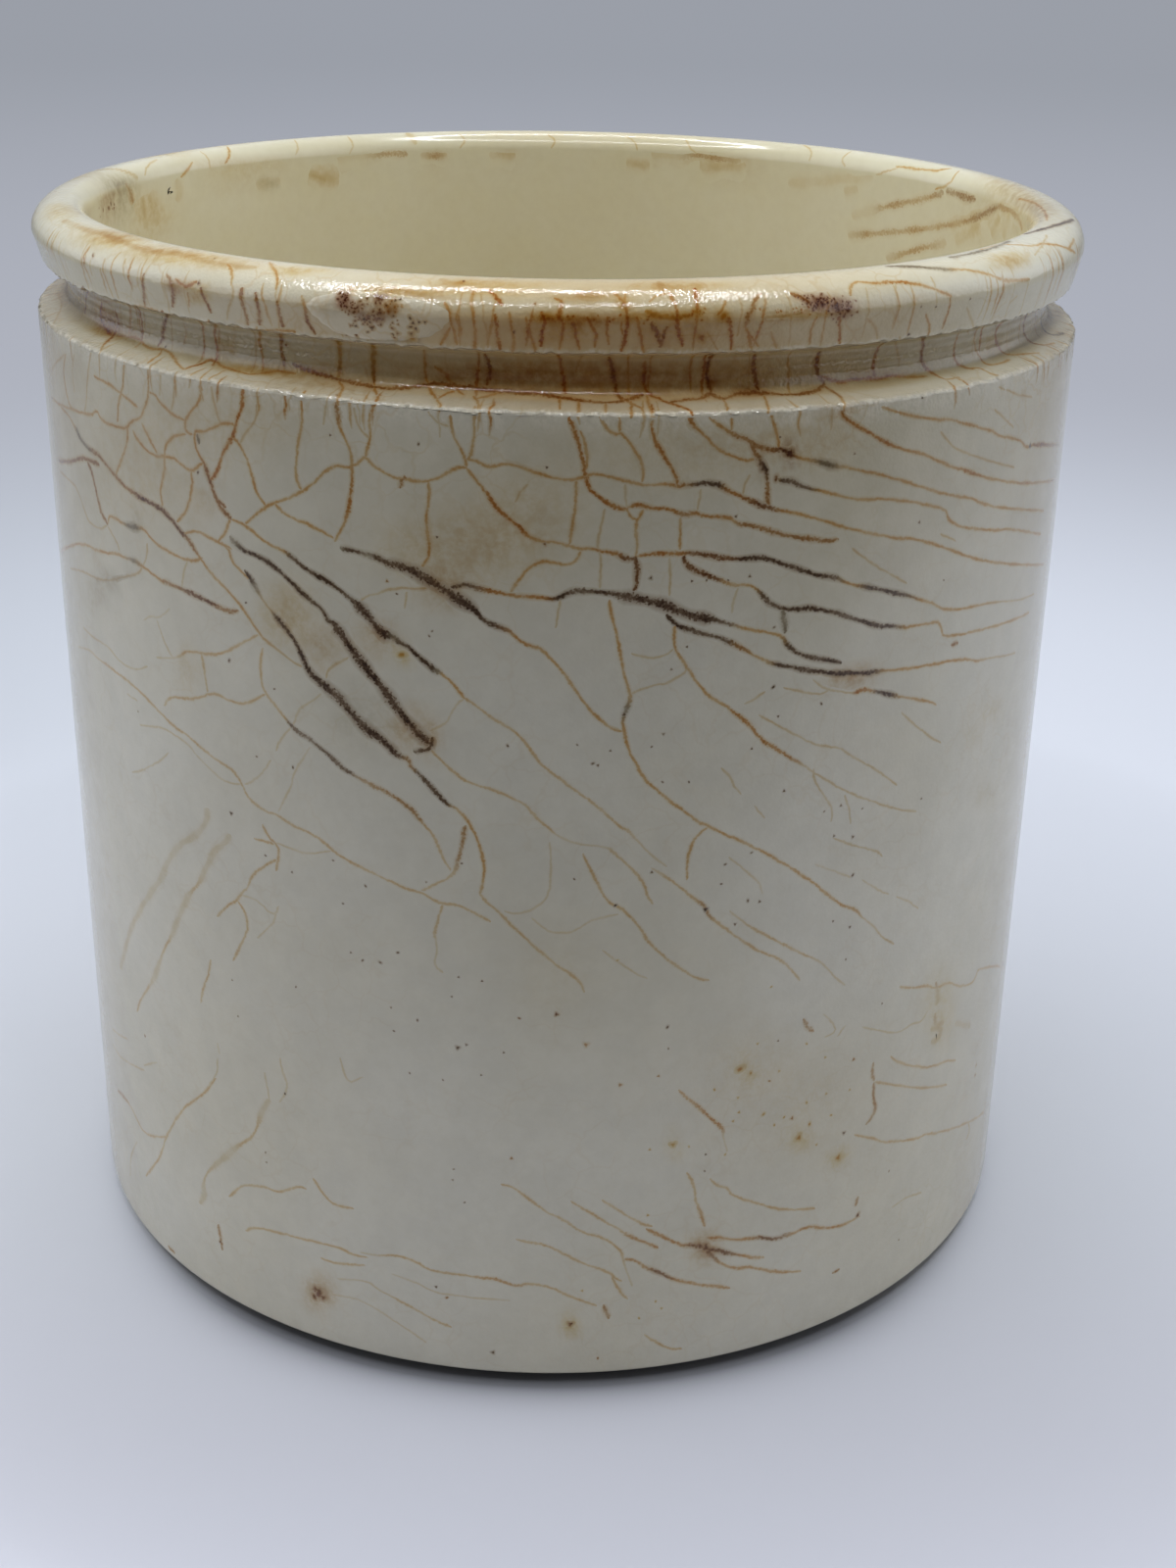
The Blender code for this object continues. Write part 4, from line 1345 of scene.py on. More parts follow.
class Tree:
    """A short way to write a material's node tree."""

    def __init__(self, tree: bpy.types.NodeTree) -> None:
        """Empty the tree."""
        self.tree = tree
        tree.nodes.clear()

    def add(self, kind: str, *inputs: object, **settings: object) -> Socket:
        """Add a node and return its first live output.

        Args:
            kind: The node's type without the ShaderNode prefix.
            *inputs: One socket or value for each input, in order; None leaves it alone.
            **settings: The node's own properties; `out` picks an output by name or number.

        Returns:
            The picked output socket, or the first one that is in use.
        """
        out = settings.pop("out", None)
        node = self.tree.nodes.new("ShaderNode" + kind)
        for name, value in settings.items():
            setattr(node, name, value)
        live = [socket for socket in node.inputs if socket.enabled]
        for socket, value in zip(live, inputs):
            if isinstance(value, Socket):
                self.tree.links.new(value, socket)
            elif value is not None:
                socket.default_value = value
        if isinstance(out, str):
            return next(socket for socket in node.outputs if socket.enabled and socket.name == out)
        outputs = [socket for socket in node.outputs if socket.enabled]
        return outputs[out or 0] if outputs else None

    def maths(self, operation: str, *values: object) -> Socket:
        """Add a Math node."""
        return self.add("Math", *values, operation=operation)

    def ease(self, value: object, low: float, high: float, to_low: float = 0.0,
             to_high: float = 1.0) -> Socket:
        """Map low..high to to_low..to_high along a smooth step."""
        return self.add("MapRange", value, low, high, to_low, to_high,
                        interpolation_type="SMOOTHSTEP")

    def mix(self, share: object, first: object, second: object, blend: str = "MIX") -> Socket:
        """Mix two colours."""
        return self.add("Mix", share, first, second, data_type="RGBA", blend_type=blend)

    def noise(self, place: object, scale: float, detail: float = 2.0, roughness: float = 0.5,
              **settings: object) -> Socket:
        """Add a Noise texture and return its value."""
        return self.add("TexNoise", place, scale, detail, roughness, **settings)

    def stretched(self, place: object, factors: tuple[float, float, float]) -> Socket:
        """Stretch coordinates by a factor on each axis."""
        return self.add("VectorMath", place, factors, operation="MULTIPLY")

    def soaked(self, colour: object, name: str, depth: object) -> Socket:
        """Multiply a colour by a mesh's colour attribute, raised to a power."""
        through = self.add("Gamma", self.attribute(name, "Color"), depth)
        return self.mix(1.0, colour, through, "MULTIPLY")

    def attribute(self, name: str, out: str = "Fac") -> Socket:
        """Read what the mesh carries under a name."""
        return self.add("Attribute", attribute_name=name, out=out)


@dataclass(frozen=True)
class GlazeFinish:
    """Cream glaze over white clay, clouded by age, with or without a crack's ink in it."""

    cream: Colour = (0.75, 0.705, 0.565)
    cloud: Colour = (0.955, 0.94, 0.895)
    amber: Colour = (0.86, 0.70, 0.49)
    clay: Colour = (0.80, 0.74, 0.58)
    specks: Colour = (0.93, 0.91, 0.87)
    roughness: float = 0.13
    cloud_scale: float = 38.0
    speck_scale: float = 900.0
    age_and_shade_scale: float = 260.0
    mottle_scale: float = 1100.0
    chip_scale: float = 1900.0
    pore_scale: float = 3200.0
    wave_scale: float = 230.0
    bend_scale: float = 500.0
    bend: float = 0.0022
    cell_scale: float = 330.0
    patch_scale: float = 120.0
    grain_scale: float = 4300.0
    slow_scale: float = 420.0
    chip_relief: float = 7.0
    pore_relief: float = 2.4
    bump_strength: float = 0.22
    bump_height_m: float = 0.0002
    core_edge: float = 0.48
    core_full: float = 0.84
    core_share: float = 0.72
    halo_share: float = 0.46

    def glaze(self, tree: Tree, place: Socket) -> Socket:
        """Colour the glaze: cream, clouded, and stained as the mesh says, painted shade included.

        Args:
            tree: The material's tree.
            place: Coordinates on the jar.

        Returns:
            The colour.
        """
        cloud = tree.noise(place, self.cloud_scale, 2.0, 0.5)
        colour = tree.mix(tree.ease(cloud, 0.30, 0.72), (*self.cream, 1.0),
                          (*(tone * shade for tone, shade in zip(self.cream, self.cloud)), 1.0))
        fine = tree.noise(place, self.speck_scale, 2.0, 0.6)
        colour = tree.mix(tree.ease(fine, 0.3, 0.75, 0.0, 0.35), colour, (*self.specks, 1.0),
                          "MULTIPLY")
        # The mesh's yellowing colour also holds painted shade and painted light
        age_and_shade_depth = tree.ease(tree.noise(place, self.age_and_shade_scale, 4.0, 0.65), 0.30, 0.70, 0.88, 1.12)
        colour = tree.soaked(colour, "age", age_and_shade_depth)
        mottle = tree.ease(tree.noise(place, self.mottle_scale, 4.0, 0.66), 0.30, 0.70, 0.5, 1.5)
        colour = tree.soaked(colour, "stain", mottle)
        colour = tree.mix(self.crazing(tree, place), colour, (*self.amber, 1.0), "MULTIPLY")
        chips = tree.noise(place, self.chip_scale, 2.0, 0.6)
        chipped = tree.maths("MULTIPLY", tree.ease(chips, 0.40, 0.60, 0.1, 0.75),
                             tree.attribute("wear"))
        return tree.mix(chipped, colour, (*self.clay, 1.0))

    def crazing(self, tree: Tree, place: Socket) -> Socket:
        """Draw the finest crazing: hairlines round cells of about 3 mm, here and there.

        The cells are warped by noise, and a second noise thins the lines out or drops them.

        Args:
            tree: The material's tree.
            place: Coordinates on the jar.

        Returns:
            The share of the lines' colour.
        """
        bend = tree.add("TexNoise", place, self.bend_scale, 2.0, 0.5, out="Color")
        bent = tree.add("VectorMath", tree.stretched(bend, (self.bend,) * 3), place,
                        operation="ADD")
        edge = tree.add("TexVoronoi", bent, self.cell_scale, feature="DISTANCE_TO_EDGE",
                        out="Distance")
        line = tree.ease(edge, 0.055, 0.008)
        patch = tree.ease(tree.noise(place, self.patch_scale, 2.0, 0.5), 0.40, 0.62)
        return tree.maths("MULTIPLY", tree.maths("MULTIPLY", line, patch), tree.attribute("craze"))

    def inked(self, tree: Tree, place: Socket, colour: Socket) -> Socket:
        """Darken the glaze under a crack's ink, which swallows more light the deeper it is.

        A crack has a narrow core with a ragged edge and a wide, faint halo. Grain breaks the
        core into beads where the crack is gritty, and a slow noise makes it wax and wane.

        Args:
            tree: The material's tree.
            place: Coordinates on the jar.
            colour: The bare glaze's colour.

        Returns:
            The colour under the ink.
        """
        grain = tree.noise(place, self.grain_scale, 2.0, 0.6)
        slow = tree.noise(place, self.slow_scale, 2.0, 0.55)
        ink = tree.attribute("ink")
        grit = tree.maths("MULTIPLY", tree.maths("SUBTRACT", grain, 0.5), tree.attribute("grit"))
        core = tree.ease(tree.maths("MULTIPLY_ADD", grit, 1.1, ink), self.core_edge, self.core_full)
        core = tree.maths("MULTIPLY", core, tree.maths("MULTIPLY_ADD", grit, 1.6, self.core_share))
        halo = tree.maths("POWER", tree.maths("MAXIMUM", ink, 0.0), 1.1)
        halo = tree.maths("MULTIPLY", halo, self.halo_share)
        slow = tree.ease(slow, 0.30, 0.70, 0.65, 1.25)
        depth = tree.maths("MULTIPLY", tree.maths("ADD", core, halo), slow)
        return tree.soaked(colour, "through", depth)

    def material(self, name: str, inked: bool) -> Material:
        """Make the glaze's material.

        Args:
            name: Its name.
            inked: Whether it carries a crack's ink.

        Returns:
            The material.
        """
        material = bpy.data.materials.new(name)
        material.use_nodes = True
        tree = Tree(material.node_tree)
        place = tree.add("TexCoord", out="Object")
        colour = self.glaze(tree, place)
        if inked:
            colour = self.inked(tree, place, colour)
        waves = tree.noise(tree.stretched(place, (1.0, 1.0, 1.6)), self.wave_scale, 2.0, 0.45)
        chips = tree.noise(place, self.chip_scale, 2.0, 0.6)
        chips = tree.maths("MULTIPLY", chips, tree.attribute("wear"))
        pores = tree.noise(place, self.pore_scale, 1.0, 0.5)
        pores = tree.maths("MULTIPLY", pores, tree.attribute("craze"))
        relief = tree.maths("MULTIPLY_ADD", pores, self.pore_relief, waves)
        relief = tree.maths("MULTIPLY_ADD", chips, self.chip_relief, relief)
        bump = tree.add("Bump", self.bump_strength, self.bump_height_m, None, relief)
        shader = tree.tree.nodes.new("ShaderNodeBsdfPrincipled")
        tree.tree.links.new(colour, shader.inputs["Base Color"])
        tree.tree.links.new(bump, shader.inputs["Normal"])
        shader.inputs["Roughness"].default_value = self.roughness
        tree.add("OutputMaterial", shader.outputs[0])
        return material


@dataclass(frozen=True)
class MeshParts:
    """Points, faces and what each point carries, gathered before one mesh is written."""

    points: Array
    normals: Array
    faces: list[list[int]]
    tone: SkinTone
    ink: Array | None = None
    grit: Array | None = None
    through: Array | None = None
    uv: Array | None = None

    def build(self, name: str, material: Material) -> Piece:
        """Write the mesh, let it ride on the jar's body and stand for its solid.

        Args:
            name: The piece's name.
            material: Its finish.

        Returns:
            The finished piece.
        """
        mesh = bpy.data.meshes.new(name)
        mesh.from_pydata((self.points * MM).tolist(), [], self.faces)
        mesh.shade_smooth()
        self.tone.store(mesh)
        if self.ink is not None:
            store_share(mesh, "ink", self.ink)
            store_share(mesh, "grit", self.grit)
            store_colour(mesh, "through", self.through)
        if self.uv is not None:
            mesh.uv_layers.new(name="OFBake").uv.foreach_set("vector", self.uv.ravel())
        mesh.normals_split_custom_set_from_vertices(self.normals.tolist())
        mesh.materials.append(material)
        piece = bpy.data.objects.new(name, mesh)
        bpy.context.scene.collection.objects.link(piece)
        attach(piece, "root")
        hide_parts(NODE)
        LOG.info("%s: %d points, %d faces", name, len(mesh.vertices), len(mesh.polygons))
        return piece


@dataclass(frozen=True)
class JarBody:
    """The fired pot itself: one closed skin turned from the outline."""

    surface: JarSurface
    stains_and_shade: AgeStainAndShade

    def build(self, material: Material) -> Piece:
        """Build the closed skin: rings of quads, and a fan at each pole.

        Args:
            material: Finish of the piece.

        Returns:
            The finished piece.
        """
        surface = self.surface
        count, turns = surface.points.shape[:2]
        ends = surface.place(surface.along[[0, -1]], np.zeros(2))
        points = np.concatenate([surface.points.reshape(-1, 3), ends])
        poles = [[0.0, 0.0, 1.0], [0.0, 0.0, -1.0]]
        normals = np.concatenate([surface.normals.reshape(-1, 3), poles])
        first = np.arange(count * turns).reshape(count, turns)
        right = np.roll(first, -1, axis=1)
        quads = np.stack([first[:-1], first[1:], right[1:], right[:-1]], axis=-1).reshape(-1, 4)
        top = np.full(turns, count * turns)
        start = np.stack([top, first[0], right[0]], axis=1)
        end = np.stack([top + 1, right[-1], first[-1]], axis=1)
        angle = np.arange(turns) * (FULL_TURN / turns)
        along, around = np.meshgrid(surface.rows, angle, indexing="ij")
        tone = self.stains_and_shade.at(np.append(along, surface.rows[[0, -1]]),
                              np.append(around, [0.0, 0.0]))
        faces = quads.tolist() + start.tolist() + end.tolist()
        return MeshParts(points, normals, faces, tone).build("jar_glazed", material)


@dataclass(frozen=True)
class CrackNetwork:
    """Cracks as thin closed ribbons that swell from just under the skin to just over it.

    The ink in a ribbon follows its height, so where two cracks cross the darker one wins and
    the pair unite without a seam.
    """

    surface: JarSurface
    stains_and_shade: AgeStainAndShade
    step: float
    columns: int
    lift_scale: float
    seed: int
    breadth: float = 1.0
    strength: float = 1.0
    sink: float = 0.3
    overlap: float = 0.2
    samples: int = 12
    meander: float = 0.028
    end_share: float = 0.65
    end_reach: float = 0.7
    swell: float = 0.16
    depth: float = 0.02
    bake_px: float = 12.0
    bake_size: float = 1024.0

    def course(self, route: Route, draw: np.random.Generator) -> tuple[Array, Array, Array]:
        """Return a smooth course through a route's points with a slight meander.

        The course is a cubic through the points in millimetres on the unrolled skin, whose
        slope at a point is that of the chord between its neighbours. It is cut to equal steps
        and pushed sideways by three slow sine waves.

        Args:
            route: The picked points.
            draw: Random numbers for the waves.

        Returns:
            The (along, arc) points, the unit directions, and where each point lies between
            the picked points, counted from the first.
        """
        radius = float(np.mean(self.surface.radius(route.along)))
        knots = np.stack([route.along, route.angle * radius], axis=1)
        for end, inner in ((0, 1), (-1, -2)):
            beyond = knots[end] - knots[inner]
            knots[end] += self.overlap * beyond / (np.linalg.norm(beyond) + 1e-9)
        padded = np.concatenate([2.0 * knots[:1] - knots[1:2], knots,
                                 2.0 * knots[-1:] - knots[-2:-1]])
        share = np.linspace(0.0, 1.0, self.samples + 1)[:-1, None, None]
        gaps = np.linalg.norm(np.diff(padded, axis=0), axis=1)[:, None] + 1e-9
        speed = (padded[2:] - padded[:-2]) / (gaps[1:] + gaps[:-1])
        start, leap = knots[:-1], np.diff(knots, axis=0)
        leaving, arriving = speed[:-1] * gaps[1:-1], speed[1:] * gaps[1:-1]
        curve = (start + leaving * share + (3.0 * leap - 2.0 * leaving - arriving) * share ** 2
                 + (leaving + arriving - 2.0 * leap) * share ** 3)
        curve = np.concatenate([curve.transpose(1, 0, 2).reshape(-1, 2), knots[-1:]])
        between = np.linspace(0.0, len(knots) - 1.0, len(curve))
        length = np.concatenate([[0.0], np.cumsum(np.linalg.norm(np.diff(curve, axis=0), axis=1))])
        count = max(4, math.ceil(length[-1] / self.step) + 1)
        even = np.linspace(0.0, length[-1], count)
        points = np.stack([np.interp(even, length, curve[:, axis]) for axis in (0, 1)], axis=1)
        ahead = np.gradient(points, axis=0)
        ahead /= np.linalg.norm(ahead, axis=1, keepdims=True) + 1e-9
        waves = sum(draw.uniform(0.3, 1.0) * np.sin(even * pace + draw.uniform(0.0, 6.3))
                    for pace in (2.1, 4.3, 8.9))
        push = self.meander * waves * np.sin(np.linspace(0.0, math.pi, count)) ** 0.5
        points = points + push[:, None] * np.stack([ahead[:, 1], -ahead[:, 0]], axis=1)
        return points / np.array([1.0, radius]), ahead, np.interp(even, length, between)

    def ribbon(self, route: Route, draw: np.random.Generator) -> dict[str, Array]:
        """Work out one ribbon's rings of points with what they carry.

        Across a ring, c runs from -1 to 1. The ink is 1 - (1 + sink)|c| and the lift is that
        times the crack's own lift, so both are zero where the ribbon meets the skin.

        Args:
            route: The crack's course.
            draw: Random numbers for its meander and width.

        Returns:
            Points, normals, ink, grit, colour, along and angle by ring, and the full width.
        """
        course, ahead, between = self.course(route, draw)
        soaks = [ink.value for ink in route.inks]
        knots = np.arange(len(soaks))
        half = np.interp(between, knots, [soak.half_width for soak in soaks]) * self.breadth
        lift = np.interp(between, knots, [soak.lift for soak in soaks]) * self.lift_scale
        grit = np.interp(between, knots, [soak.grit for soak in soaks])
        through = np.stack([np.interp(between, knots, [soak.through[axis] for soak in soaks])
                            for axis in range(3)], axis=1)
        count = len(course)
        travelled = np.arange(count) * self.step
        to_end = np.minimum(travelled, travelled[::-1])
        widening = smooth_step(to_end, 0.0, self.end_reach)
        widening = self.end_share + (1.0 - self.end_share) * widening
        half = half * widening * (1.0 + self.sink)
        fade = smooth_step(to_end, -0.9, 0.35)
        half = half * (1.0 + self.swell * np.sin(travelled * 1.7 + draw.uniform(0.0, 6.3)))
        spread = np.linspace(-1.0, 1.0, self.columns)
        under = spread[-2:0:-1]
        c = np.concatenate([spread, under])
        ink = (1.0 - (1.0 + self.sink) * np.abs(c))[None] * fade[:, None]
        ink = np.where(np.abs(c)[None] > 0.999, -self.sink, ink)
        height = ink * lift[:, None]
        height[:, self.columns:] = -self.depth
        tips = height[[0, -1], 1:self.columns - 1]
        height[[0, -1], 1:self.columns - 1] = np.minimum(tips, -0.2 * self.depth)
        side = np.stack([ahead[:, 1], -ahead[:, 0]], axis=1)
        radius = self.surface.radius(course[:, :1])
        along = course[:, :1] + side[:, :1] * half[:, None] * c[None]
        angle = course[:, 1:] + side[:, 1:] * half[:, None] * c[None] / radius
        points, normals = self.surface.skin(along, angle)
        points = points + normals * height[..., None]
        return {"points": points, "normals": normals, "ink": ink,
                "grit": np.repeat(grit[:, None], len(c), axis=1),
                "through": np.repeat(through[:, None] ** self.strength, len(c), axis=1),
                "along": along, "angle": angle, "width": np.array([2.0 * float(half.max())])}

    def build(self, name: str, routes: Iterable[Route], material: Material) -> Piece:
        """Build all ribbons as one piece, each closed at both ends and with its own bake strip.

        Args:
            name: The piece's name.
            routes: The cracks' courses.
            material: Its finish.

        Returns:
            The finished piece.
        """
        draw = np.random.default_rng(self.seed)
        ribbons = [self.ribbon(route, draw) for route in routes]
        ring = 2 * self.columns - 2
        faces: list[list[int]] = []
        corners: list[Array] = []
        base, strip_x, strip_y, strip_height = 0, 2.0, 2.0, 0.0
        for item in ribbons:
            count = len(item["points"])
            index = base + np.arange(count * ring).reshape(count, ring)
            right = np.roll(index, -1, axis=1)
            quads = np.stack([index[:-1], right[:-1], right[1:], index[1:]], axis=-1).reshape(-1, 4)
            length = count * self.step * self.bake_px
            height = float(item["width"][0]) * self.bake_px + 3.0
            if strip_x + length > self.bake_size - 2.0:
                strip_x, strip_y, strip_height = 2.0, strip_y + strip_height + 1.0, 0.0
            strip_height = max(strip_height, height)
            top = np.linspace(0.0, height - 3.0, self.columns)
            bottom = height - 3.0 + np.linspace(0.0, 1.0, self.columns)[1:]
            v = strip_y + np.concatenate([top, bottom])
            u = strip_x + np.linspace(0.0, length - 3.0, count)
            low_u, high_u = np.repeat(u[:-1], ring), np.repeat(u[1:], ring)
            low_v, high_v = np.tile(v[:-1], count - 1), np.tile(v[1:], count - 1)
            uv = np.stack([np.stack([low_u, low_v], 1), np.stack([low_u, high_v], 1),
                           np.stack([high_u, high_v], 1), np.stack([high_u, low_v], 1)], axis=1)
            faces += quads.tolist() + [index[0, ::-1].tolist(), index[-1].tolist()]
            cap = np.stack([np.full(ring, strip_x), v[:-1]], axis=1)
            corners += [uv.reshape(-1, 2), cap[::-1], cap + np.array([length - 3.0, 0.0])]
            base += count * ring
            strip_x += length
        flat = {key: np.concatenate([item[key].reshape(-1, *item[key].shape[2:])
                                     for item in ribbons])
                for key in ("points", "normals", "ink", "grit", "through", "along", "angle")}
        LOG.info("%s: %d cracks", name, len(ribbons))
        uv_all = np.concatenate(corners) / self.bake_size
        uv_all[:, 1] = uv_all[:, 1] * min(1.0, self.bake_size / (strip_y + strip_height + 2.0))
        tone = self.stains_and_shade.at(flat["along"], flat["angle"])
        return MeshParts(flat["points"], flat["normals"], faces, tone, flat["ink"], flat["grit"],
                         flat["through"], uv_all).build(name, material)


def lens_cells(plane: Array, faces: Array, count: int) -> Array:
    """Give every corner of many like lenses a bake place, each lens in its own square cell.

    Args:
        plane: A unit lens's (x, y) points.
        faces: Its triangles.
        count: How many lenses there are.

    Returns:
        One (u, v) for each corner.
    """
    columns = math.ceil(math.sqrt(count))
    cell = np.stack([np.arange(count) % columns, np.arange(count) // columns], axis=1) / columns
    local = 0.5 + plane * 0.42
    local[-1] = (0.98, 0.98)
    return (cell[:, None, None, :] + local[faces][None] / columns).reshape(-1, 2)


@dataclass(frozen=True)
class SpotScatter:
    """Pinholes and spots as small closed lenses that sit in the skin like the cracks."""

    surface: JarSurface
    stains_and_shade: AgeStainAndShade
    sides: int = 14
    mm_per_px: float = 0.083
    spread: float = 1.7
    wobble: float = 0.22
    grit_share: float = 0.6

    def lens(self) -> tuple[Array, Array, Array]:
        """Work out a unit lens.

        Rings at 0.35, 0.7 and 1 of the radius rise to a middle point above, and one point
        closes it below.

        Returns:
            Its (x, y) points, their ink, and its triangles.
        """
        angle = np.arange(self.sides) * (FULL_TURN / self.sides)
        rings = np.array([0.35, 0.7, 1.0])
        circle = np.stack([np.cos(angle), np.sin(angle)], axis=1)
        around = (rings[:, None, None] * circle).reshape(-1, 2)
        plane = np.concatenate([[[0.0, 0.0]], around, [[0.0, 0.0]]])
        ink = 1.0 - 1.25 * np.concatenate([[0.0], np.repeat(rings, self.sides), [2.0]])
        k = np.arange(self.sides)
        nxt = (k + 1) % self.sides
        faces = [np.stack([np.zeros_like(k), 1 + k, 1 + nxt], 1)]
        for ring in range(2):
            low, high = 1 + ring * self.sides, 1 + (ring + 1) * self.sides
            faces += [np.stack([low + k, high + k, high + nxt], 1),
                      np.stack([low + k, high + nxt, low + nxt], 1)]
        last = 1 + 2 * self.sides
        faces.append(np.stack([np.full_like(k, len(plane) - 1), last + nxt, last + k], 1))
        return plane, ink, np.concatenate(faces)

    def build(self, name: str, spots: list[tuple[Ink, float, float, float]],
              run: "GlazeRun", material: Material) -> Piece:
        """Build every spot into one piece, over the run of glaze too.

        Args:
            name: The piece's name.
            spots: Rows of (ink, along, angle, radius in millimetres).
            run: The raised run of glaze that some spots lie on.
            material: Its finish.

        Returns:
            The finished piece.
        """
        draw = np.random.default_rng(5)
        plane, ink, faces = self.lens()
        count = len(spots)
        centre = np.array([spot[1:3] for spot in spots])
        size = np.array([spot[3] for spot in spots])
        turn = np.arctan2(plane[:, 1], plane[:, 0])[None]
        waves = np.sin(turn * draw.integers(2, 4, (count, 1)) + draw.uniform(0.0, 6.3, (count, 1)))
        wobble = 1.0 + self.wobble * waves
        radius = self.surface.radius(centre[:, :1])
        along = centre[:, :1] - plane[None, :, 1] * size[:, None] * wobble
        angle = centre[:, 1:] + plane[None, :, 0] * size[:, None] * wobble / radius
        points, normals = self.surface.skin(along, angle)
        lift = np.array([0.02 + 0.006 * min(1.0, spot[3]) for spot in spots])
        height = np.where(ink > -1.0, ink, -1.0)[None] * lift[:, None]
        height = height + run.rise(centre[:, 0], centre[:, 1])[:, None]
        points = points + normals * height[..., None]
        soak = [spot[0].value for spot in spots]
        step = (np.arange(count) * len(plane))[:, None, None]
        triangles = (faces[None] + step).reshape(-1, 3).tolist()
        return MeshParts(points.reshape(-1, 3), normals.reshape(-1, 3), triangles,
                         self.stains_and_shade.at(along, angle), np.tile(np.maximum(ink, -0.3), count),
                         np.repeat([item.grit * self.grit_share for item in soak], len(plane)),
                         np.repeat([item.through for item in soak], len(plane), axis=0),
                         lens_cells(plane, faces, count)).build(name, material)


@dataclass(frozen=True)
class GlazeBeads:
    """Small worn facets of glaze along the shoulder's edge, each a shallow closed lens."""

    surface: JarSurface
    stains_and_shade: AgeStainAndShade
    count: int = 420
    curve: float = 10.0
    proud: float = 0.03
    root: float = 0.25
    rise: float = 43.0
    swing_up: float = 18.4
    swing_down: float = -8.0
    front: tuple[float, float] = (-0.48, -0.02)
    below_edge: float = 0.1
    half_widths: tuple[float, float] = (0.16, 0.36)
    flatness: float = 0.48
    light_angle: float = -0.04
    light_reach: float = 0.39

    def build(self, material: Material) -> Piece:
        """Build the lenses: each bulges by distance^2 / (2 curve) about its own tilted axis.

        The axes lean so that the ring light shows in most facets of the front.

        Args:
            material: Finish of the piece.

        Returns:
            The finished piece.
        """
        draw = np.random.default_rng(47)
        plane, _, faces = SpotScatter(self.surface, self.stains_and_shade).lens()
        angle = np.sort(draw.uniform(0.0, FULL_TURN, self.count))
        angle[::6] = draw.uniform(*self.front, len(angle[::6]))
        along = self.surface.shoulder_along + self.below_edge + draw.normal(0.0, 0.05, self.count)
        off_light = (np.sin(angle) - self.light_angle) / self.light_reach
        swing = np.sqrt(np.clip(1.0 - off_light ** 2, 0.0, 1.0))
        swing = swing * draw.choice((self.swing_up, self.swing_down), self.count)
        rise = np.radians(self.rise + swing + draw.normal(0.0, 1.4, self.count))
        turn = angle + np.radians(draw.normal(0.0, 2.5, self.count))
        level = np.cos(rise)
        axis = np.stack([level * np.sin(turn), -level * np.cos(turn), np.sin(rise)], axis=1)
        right = np.stack([np.cos(turn), np.sin(turn), np.zeros(self.count)], axis=1)
        up = np.cross(axis, right)
        size = draw.uniform(*self.half_widths, (self.count, 1, 1)) * np.array([1.0, self.flatness])
        offset = plane[None] * size
        aside = offset[..., :1] * right[:, None] + offset[..., 1:] * up[:, None]
        bulge = self.proud - (offset ** 2).sum(axis=2) / (2.0 * self.curve)
        bulge[:, -1] = -self.root
        centre, _ = self.surface.skin(along, angle)
        points = centre[:, None] + aside + bulge[..., None] * axis[:, None]
        normals = axis[:, None] + aside / self.curve
        normals[:, -1] = -axis
        normals /= np.linalg.norm(normals, axis=2, keepdims=True)
        tone = self.stains_and_shade.at(np.repeat(along, len(plane)), np.repeat(angle, len(plane)))
        step = (np.arange(self.count) * len(plane))[:, None, None]
        triangles = (faces[None] + step).reshape(-1, 3).tolist()
        return MeshParts(points.reshape(-1, 3), normals.reshape(-1, 3), triangles, tone,
                         uv=lens_cells(plane, faces, self.count)).build("glaze_beads", material)


